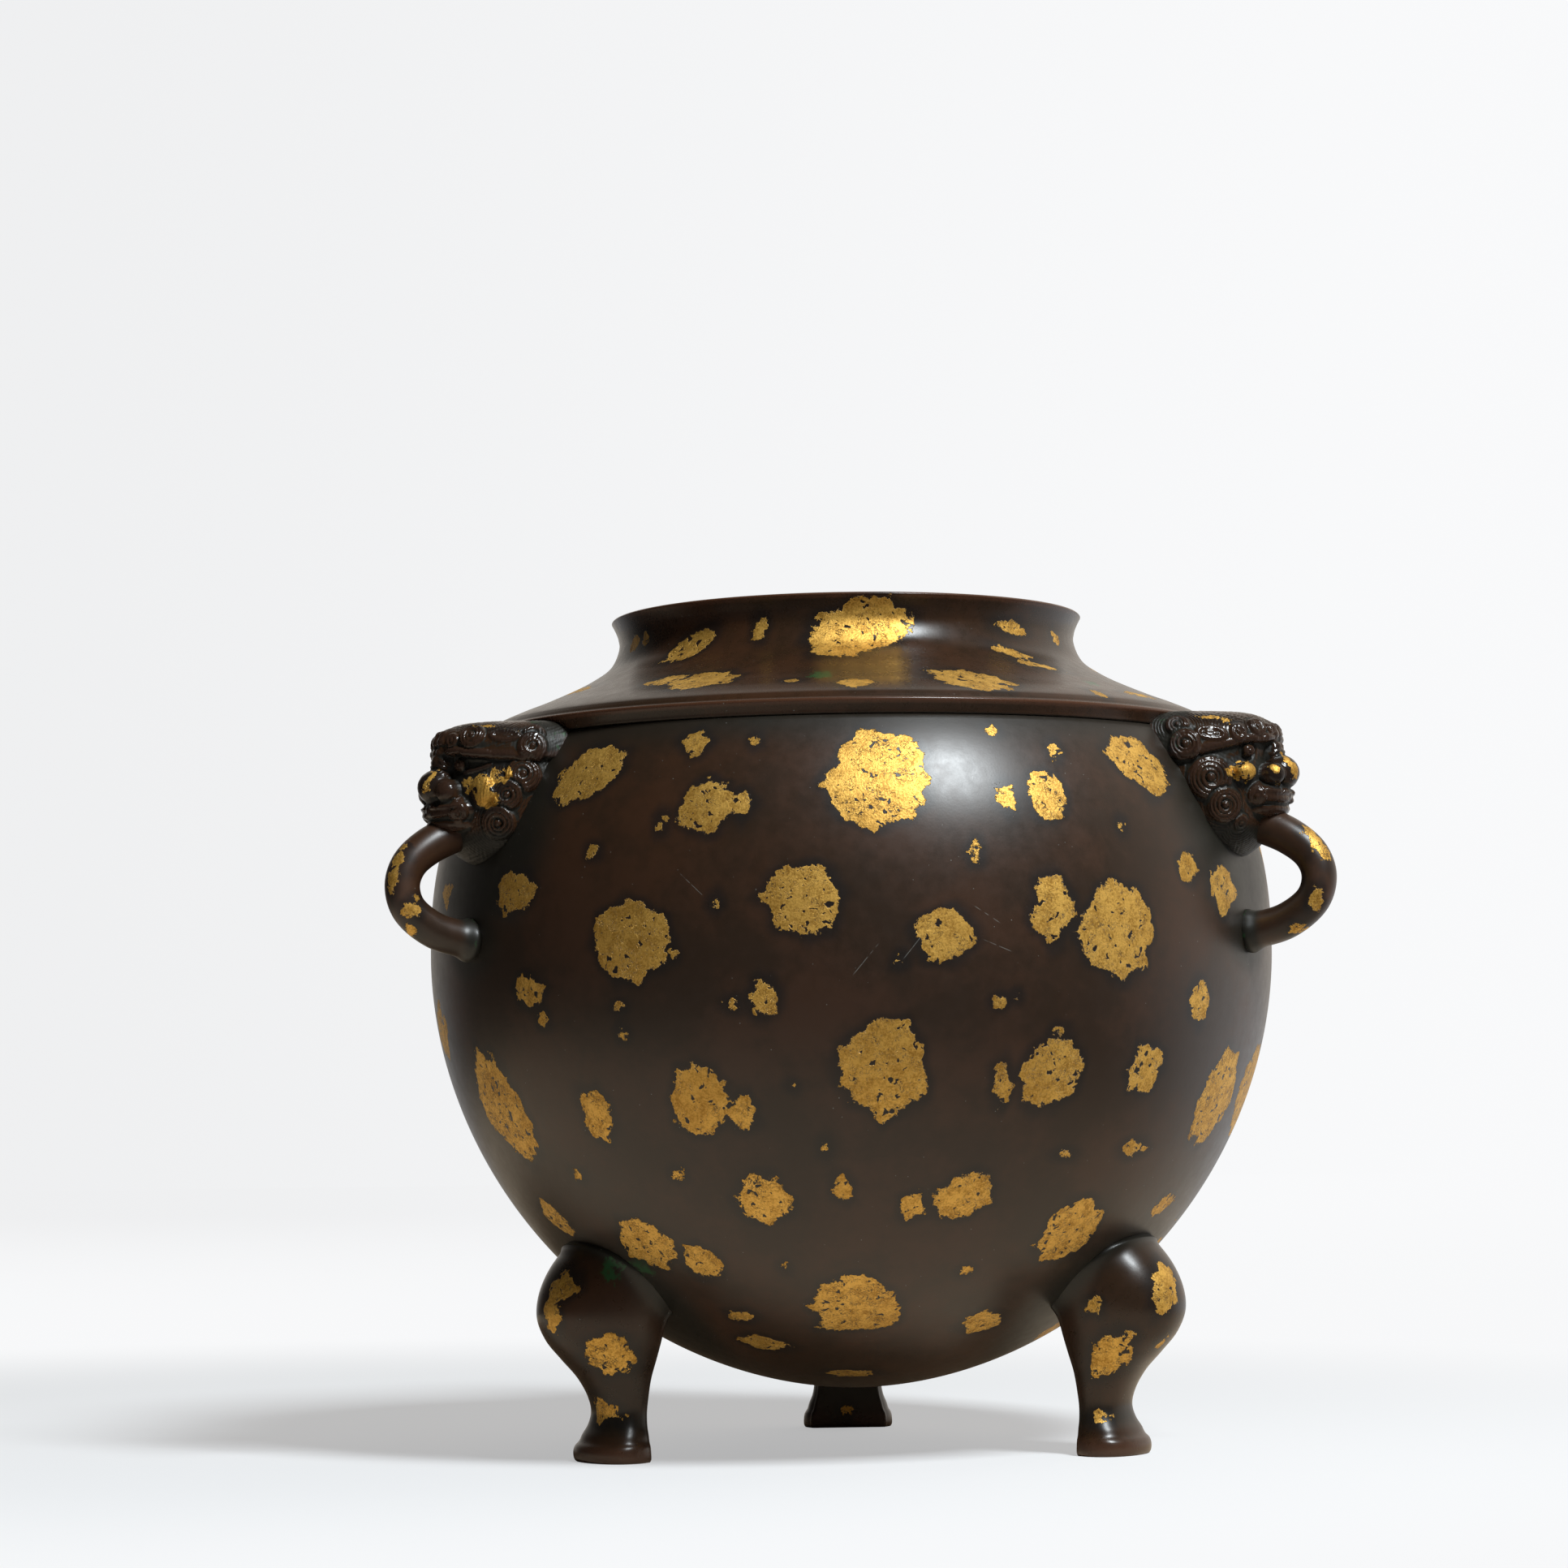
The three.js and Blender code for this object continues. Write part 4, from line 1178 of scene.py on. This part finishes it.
# %% Finishes written as sums
class Shade:
    """One value, colour or direction on its way through a finish."""

    def __init__(self, finish, socket):
        self.finish = finish
        self.socket = socket

    def math(self, operation, first, second):
        return self.finish.node("ShaderNodeMath", {"operation": operation}, {0: first, 1: second})

    def __add__(self, other):
        return self.math("ADD", self, other)

    def __sub__(self, other):
        return self.math("SUBTRACT", self, other)

    def __rsub__(self, other):
        return self.math("SUBTRACT", other, self)

    def __mul__(self, other):
        return self.math("MULTIPLY", self, other)

    def __truediv__(self, other):
        return self.math("DIVIDE", self, other)

    def __rtruediv__(self, other):
        return self.math("DIVIDE", other, self)

    __radd__ = __add__
    __rmul__ = __mul__

    def most(self, other):
        """The larger of two values."""
        return self.math("MAXIMUM", self, other)

    def smooth(self, low, high):
        """0 at low and 1 at high, with a soft start and end."""
        return self.finish.node(
            "ShaderNodeMapRange",
            {"interpolation_type": "SMOOTHSTEP"},
            {"Value": self, "From Min": low, "From Max": high},
        )


class Finish:
    """A material, or the world's light, with its nodes and its shader."""

    def __init__(self, name, tree=None):
        if tree is None:
            self.material = bpy.data.materials.new(name)
            self.material.use_nodes = True
            tree = self.material.node_tree
        self.tree = tree
        self.tree.nodes.clear()

    def node(self, kind, settings=None, values=None, output=0):
        """Adds any node: its settings first, then the values or links of its sockets."""
        made = self.tree.nodes.new(kind)
        for name, value in (settings or {}).items():
            setattr(made, name, value)
        for name, value in (values or {}).items():
            if isinstance(value, Shade):
                self.tree.links.new(value.socket, made.inputs[name])
            else:
                made.inputs[name].default_value = value
        return Shade(self, made.outputs[output] if len(made.outputs) else None)

    def mix(self, share, first, second):
        """Colour between two colours."""
        pair = [c if isinstance(c, Shade) else (*c, 1.0) for c in (first, second)]
        return self.node(
            "ShaderNodeMix", {"data_type": "RGBA"}, {0: share, 6: pair[0], 7: pair[1]}, 2
        )

    def mark(self, name):
        """A number stored on the piece's points."""
        return self.node("ShaderNodeAttribute", {"attribute_name": name}, output="Fac")

    def vector(self, operation, values, output="Vector"):
        """One step of maths on vectors."""
        return self.node("ShaderNodeVectorMath", {"operation": operation}, values, output)

    def dot(self, vector, way):
        """How far a vector reaches along a fixed direction."""
        return self.vector("DOT_PRODUCT", {0: vector, 1: tuple(way)}, "Value")

    def place(self):
        """Position on the object, in millimetres."""
        spot = self.node("ShaderNodeTexCoord", output="Object")
        return self.vector("SCALE", {0: spot, "Scale": 1000.0})

    def noise(self, place, size, detail=2.0, roughness=0.5, twist=0.0):
        """Cloudy values round 0.5, with clouds of about the size given in millimetres."""
        return self.node(
            "ShaderNodeTexNoise",
            {},
            {"Vector": place, "Scale": 1 / size, "Detail": detail, "Roughness": roughness,
             "Distortion": twist},
        )

    def specks(self, place, size):
        """Distance to the nearest of many scattered points, in units of the given size."""
        return self.node(
            "ShaderNodeTexVoronoi", {}, {"Vector": place, "Scale": 1 / size, "Randomness": 1.0}
        )

    def scratch(self, place, start, end, width=0.09):
        """1 along a thin straight line between two points of the bowl's skin: close to the plane
        through both points and the bowl's middle, and between the two ends."""
        middle = axis_place * 1000 + np.array([0, 0, widest_height])
        length = np.linalg.norm(end - start)
        aside = np.cross(start - middle, end - middle)
        aside /= np.linalg.norm(aside)
        forward = (end - start) / length
        off = self.dot(place, aside) - float(aside @ middle)
        along = (self.dot(place, forward) - float(forward @ start)) / float(length)
        thin = (off * off).smooth(width**2, 0.2 * width**2)
        return thin * along.smooth(0.0, 0.15) * along.smooth(1.0, 0.85)

    def surface(self, values):
        """The metal's own shader and the material's output."""
        made = self.node("ShaderNodeBsdfPrincipled", {}, values)
        self.node("ShaderNodeOutputMaterial", {}, {"Surface": made})
        return self.material


# %% [markdown]
# The patina is a thin brown skin with a dull wax gloss, so it is shaded as a dark glossy skin and
# not as bare metal. It is warmer where hands and cloths rub it and almost black where sooty dirt
# stays, and the same near-black is painted shade in hollows, in the groove, under the ledge and at
# joints.
# The gold is matt leaf: its edge is torn into small teeth, dark pits and creases show through it,
# and a dark line of burnt patina runs round it. A little verdigris sits in a few places.

# %% The patinated bronze with its gold
brown = (0.0205, 0.0112, 0.0058)
red_brown = (0.044, 0.018, 0.0080)
warm_brown = (0.055, 0.025, 0.014)
shoulder_brown = (0.064, 0.026, 0.013)
handled_brown = (0.064, 0.031, 0.018)
chased_brown = (0.029, 0.0145, 0.0090)
# near-black of sooty dirt and of painted shade
soot_and_shade_colour = (0.0115, 0.0100, 0.0066)
pitch = (0.008, 0.007, 0.0065)
leaf = (0.78, 0.45, 0.095)
dull_leaf = (0.36, 0.175, 0.024)
verdigris = (0.015, 0.050, 0.015)
dust_grey = (0.22, 0.22, 0.20)


def bronze(name, wear_colour, base_roughness, dull=0.08, scratches=(), ior=1.5):
    """Patina, sooty dirt with painted shade, wear and gold, mixed by the marks on the points.

    The gold's edge is its stored distance plus a ragged noise. Inside it, pits are the high ends
    of one noise and crinkles are the thin bands where another noise passes through 0.5."""
    f = Finish(name)
    spot = f.place()
    clouds = f.noise(spot, 24.0, 4.0, 0.58)
    ragged = f.noise(spot, 2.6, 5.0, 0.66)
    fine = f.noise(spot, 1.5, 3.0, 0.6)
    grain = f.noise(spot, 0.42, 2.0, 0.6)
    gold_edge = f.mark("gold")
    # sooty dirt and painted shade from the marks darken the patina almost to black
    soot_and_shade = (f.mark("soot_and_shade") * (0.6 + 0.8 * clouds)).smooth(0.15, 0.95)
    wear = (f.mark("wear") * (0.5 + fine)).smooth(0.2, 0.9)
    inside = f.mark("inside")
    torn = gold_edge + (ragged - 0.5) * 5.6
    crinkle = f.noise(spot, 1.25, 3.0, 0.55, 1.1) - 0.5
    crinkle = (crinkle * crinkle).smooth(0.0005, 0.0001) * f.noise(spot, 3.0).smooth(0.44, 0.58)
    pits = f.noise(spot, 1.7, 2.0, 0.5, 0.4).smooth(0.632, 0.66)
    covered = torn.smooth(0.07, -0.07) * (1 - pits) * (1 - crinkle * 0.8)
    halo = gold_edge.smooth(2.6, 0.2) * (1 - covered)
    reddish = 0.16 + 0.62 * (0.75 * clouds + 0.25 * ragged).smooth(0.42, 0.62)
    body = f.mix(reddish, brown, red_brown)
    body = f.mix(soot_and_shade, body, soot_and_shade_colour)
    body = f.mix(wear, body, wear_colour)
    crust = (f.mark("green") + (ragged - 0.5) * 3.2).smooth(0.75, 1.05)
    body = f.mix(crust, body, verdigris)
    body = f.mix(halo * 0.7, body, pitch)
    body = f.mix(inside * 0.8, body, pitch)
    dust = f.specks(spot, 2.4).smooth(0.050, 0.034) * clouds.smooth(0.44, 0.58)
    for start, end in scratches:
        dust = dust.most(f.scratch(spot, start, end) * 0.55 * fine.smooth(0.38, 0.55))
    body = f.mix(dust * 0.7, body, dust_grey)
    foil = f.mix((grain * 0.45 + ragged * 0.55).smooth(0.32, 0.60), dull_leaf, leaf)
    foil = f.mix(clouds.smooth(0.42, 0.62) * 0.28, foil, dull_leaf)
    colour = f.mix(covered, body, foil)
    rough = base_roughness + (ragged - 0.5) * 0.16 + soot_and_shade * dull + inside * 0.3
    rough = rough + covered * (0.52 - rough)
    height = covered * (0.06 + 0.16 * ragged + 0.08 * grain) + grain * 0.008 + fine * 0.010
    bump = f.node(
        "ShaderNodeBump", {}, {"Height": height, "Distance": 0.001, "Strength": 0.7}
    )
    return f.surface(
        {
            "Base Color": colour,
            "Metallic": covered * 0.7,
            "Roughness": rough,
            "IOR": ior,
            "Normal": bump,
        }
    )


def on_belly(turn, height):
    """A point of the belly's skin, in the millimetres that the finishes read."""
    radius, angle = belly_radius_at(height), np.radians(turn)
    return axis_place * 1000 + np.array([radius * np.cos(angle), radius * np.sin(angle), height])


scratch_ends = [
    ((274.3, 100.0), (277.8, 106.7)), ((279.2, 99.5), (281.2, 103.2)),
    ((283.0, 111.0), (287.0, 107.0)), ((284.5, 104.0), (288.5, 101.5)),
    ((268.0, 97.0), (271.5, 103.5)), ((246.0, 118.0), (249.5, 113.0)),
]
scratches = [(on_belly(*start), on_belly(*end)) for start, end in scratch_ends]
patina = bronze("patinated bronze", warm_brown, 0.355, scratches=scratches)
shoulder_patina = bronze("shoulder bronze", shoulder_brown, 0.28, ior=1.4)
leg_patina = bronze("leg bronze", warm_brown, 0.29, ior=1.42)
rubbed = bronze("rubbed bronze", handled_brown, 0.36)
chased = bronze("chased bronze", chased_brown, 0.19, dull=0.30, ior=1.38)
finishes = [
    (patina, [belly]),
    (shoulder_patina, [neck]),
    (leg_patina, legs.values()),
    (rubbed, [*loops.values(), *rivets.values()]),
    (chased, masks.values()),
]
for finish, pieces in finishes:
    for piece in pieces:
        piece.data.materials.append(finish)
    print(finish.name, "on", [piece.name for piece in pieces])

# %% [markdown]
# The camera stands a little less than a metre away and only 69 mm above the floor, so the lip is
# seen as a thin oval and the far foot shows under the bowl. Its lens is long. The three small turns
# below are read from the photograph: up, aside, and a slight roll.

# %% The camera
camera_distance = 0.9016
camera_height = 0.06914
camera_round = -2.09
camera_pitch = 4.605
camera_yaw = -0.88
camera_roll = -0.774
lens = 96.24

camera_data = bpy.data.cameras.new("camera")
camera_data.sensor_width = 36.0
camera_data.lens = lens
camera_data.clip_start = 0.05
camera = bpy.data.objects.new("camera", camera_data)
bpy.context.scene.collection.objects.link(camera)
circle = Matrix.Rotation(np.radians(camera_round), 4, "Z")
stand = Matrix.Translation((0, -camera_distance, camera_height))
aim = (
    Matrix.Rotation(np.radians(-camera_yaw), 4, "Z")
    @ Matrix.Rotation(np.radians(90 + camera_pitch), 4, "X")
    @ Matrix.Rotation(np.radians(camera_roll), 4, "Z")
)
camera.matrix_world = Matrix.Translation(axis_place) @ circle @ stand @ aim
bpy.context.scene.camera = camera
print("camera at", [round(v, 4) for v in camera.matrix_world.translation])

# %% [markdown]
# The light is a plain studio: one soft box high on the right, which gives the bowl its highlight
# and draws the long shadow, and a white sweep behind the bowl. The metal mirrors that sweep, so
# its edges are pale, while the room in front is dim, so its middle stays dark.

# %% The soft box
soft_box_turn = 36.0
soft_box_rise = 50.0
soft_box_distance = 1.6
bowl_middle = axis_place + np.array([0, 0, 0.09])

box_data = bpy.data.lights.new("key light", "AREA")
box_data.shape = "RECTANGLE"
box_data.size = 0.30
box_data.size_y = 0.50
box_data.energy = 34.0
box_data.color = (0.90, 0.965, 1.0)
soft_box = bpy.data.objects.new("key light", box_data)
bpy.context.scene.collection.objects.link(soft_box)
# 0 degrees looks from the camera's side, and the turn goes to the right
a, e = np.radians(soft_box_turn - 90 + camera_round), np.radians(soft_box_rise)
way = np.array([np.cos(e) * np.cos(a), np.cos(e) * np.sin(a), np.sin(e)])
right = np.cross([0, 0, 1], way)
right /= np.linalg.norm(right)
facing = Matrix((right, np.cross(way, right), way)).transposed().to_4x4()
soft_box.matrix_world = Matrix.Translation(bowl_middle + soft_box_distance * way) @ facing
print("soft box at", [round(v, 3) for v in soft_box.matrix_world.translation])

# %% The room's own light
to_sweep = (0.55, 0.83, 0.0)
to_right = (1.0, 0.0, 0.0)
paper = (0.985, 0.99, 1.0)
warm_room = (1.0, 0.93, 0.84)
black = (0.0, 0.0, 0.0)


def sweep_light(finish, heading):
    """The sweep's light from a heading: 0.02 in the room and 0.87 at the sweep, softly between."""
    return 0.02 + 0.85 * finish.dot(heading, to_sweep).smooth(0.05, 0.85)


def backdrop(finish, heading):
    """What the camera sees there: near white, and a little paler to the right."""
    return 0.875 + 0.085 * finish.dot(heading, to_right).smooth(-0.2, 0.2)


world = bpy.data.worlds.new("studio")
world.use_nodes = True
bpy.context.scene.world = world
room = Finish("room", world.node_tree)
heading = room.node("ShaderNodeTexCoord", output="Generated")
camera_ray = room.node("ShaderNodeLightPath", output="Is Camera Ray")
diffuse_ray = room.node("ShaderNodeLightPath", output="Is Diffuse Ray")
# a matt surface gets 0.7 of the room's light
glow = sweep_light(room, heading) * (1 - 0.3 * diffuse_ray)
strength = glow + camera_ray * (backdrop(room, heading) - glow)
background = room.node(
    "ShaderNodeBackground",
    {},
    {"Color": room.mix(camera_ray, warm_room, paper), "Strength": strength},
)
room.node("ShaderNodeOutputWorld", {}, {"Surface": background})
print("room:", len(room.tree.nodes), "nodes")

# %% [markdown]
# The floor is white board. Near the bowl the camera sees the matt board and the long shadow on it,
# mixed about half and half with plain white light, and further out the board fades into the
# backdrop, so that no horizon shows. What the metal mirrors of the matt board has a warmer tone.

# %% The floor
floor_reach = 4.0
floor_mesh = bpy.data.meshes.new("floor")
floor_mesh.from_pydata(
    [
        (-floor_reach, -floor_reach, 0),
        (floor_reach, -floor_reach, 0),
        (floor_reach, floor_reach, 0),
        (-floor_reach, floor_reach, 0),
    ],
    [],
    [(0, 1, 2, 3)],
)
floor = bpy.data.objects.new("floor", floor_mesh)
bpy.context.scene.collection.objects.link(floor)
pale = Finish("pale floor")
board = (0.80, 0.80, 0.81)
mirrored_board = (0.84, 0.68, 0.50)
shadow_middle = (-110.0, 70.0, 0.0)
first_ray = pale.node("ShaderNodeLightPath", output="Is Camera Ray")
mirrored_ray = pale.node("ShaderNodeLightPath", output="Is Glossy Ray")
seen_ray = first_ray.most(mirrored_ray)
outward = pale.vector("NORMALIZE", {0: pale.place()})
reach = pale.vector("SUBTRACT", {0: pale.place(), 1: shadow_middle})
reach = pale.vector("LENGTH", {0: reach}, "Value")
colour = pale.mix(mirrored_ray, board, mirrored_board)
matt = pale.node("ShaderNodeBsdfDiffuse", {}, {"Color": colour})
far_glow = sweep_light(pale, outward)
shown = 0.95 + (backdrop(pale, outward) - 0.95) * reach.smooth(500.0, 2600.0)
level = far_glow + first_ray * (shown - far_glow)
white = pale.node("ShaderNodeEmission", {}, {"Color": pale.mix(level, black, paper)})
base_share = 0.47 * first_ray
fade = base_share + (seen_ray - base_share) * reach.smooth(150.0, 420.0)
both = pale.node("ShaderNodeMixShader", {}, {0: fade, 1: matt, 2: white})
pale.node("ShaderNodeOutputMaterial", {}, {"Surface": both})
floor_mesh.materials.append(pale.material)
bpy.context.scene.view_settings.view_transform = "Standard"
print("floor:", 2 * floor_reach, "m wide,", len(pale.tree.nodes), "nodes")
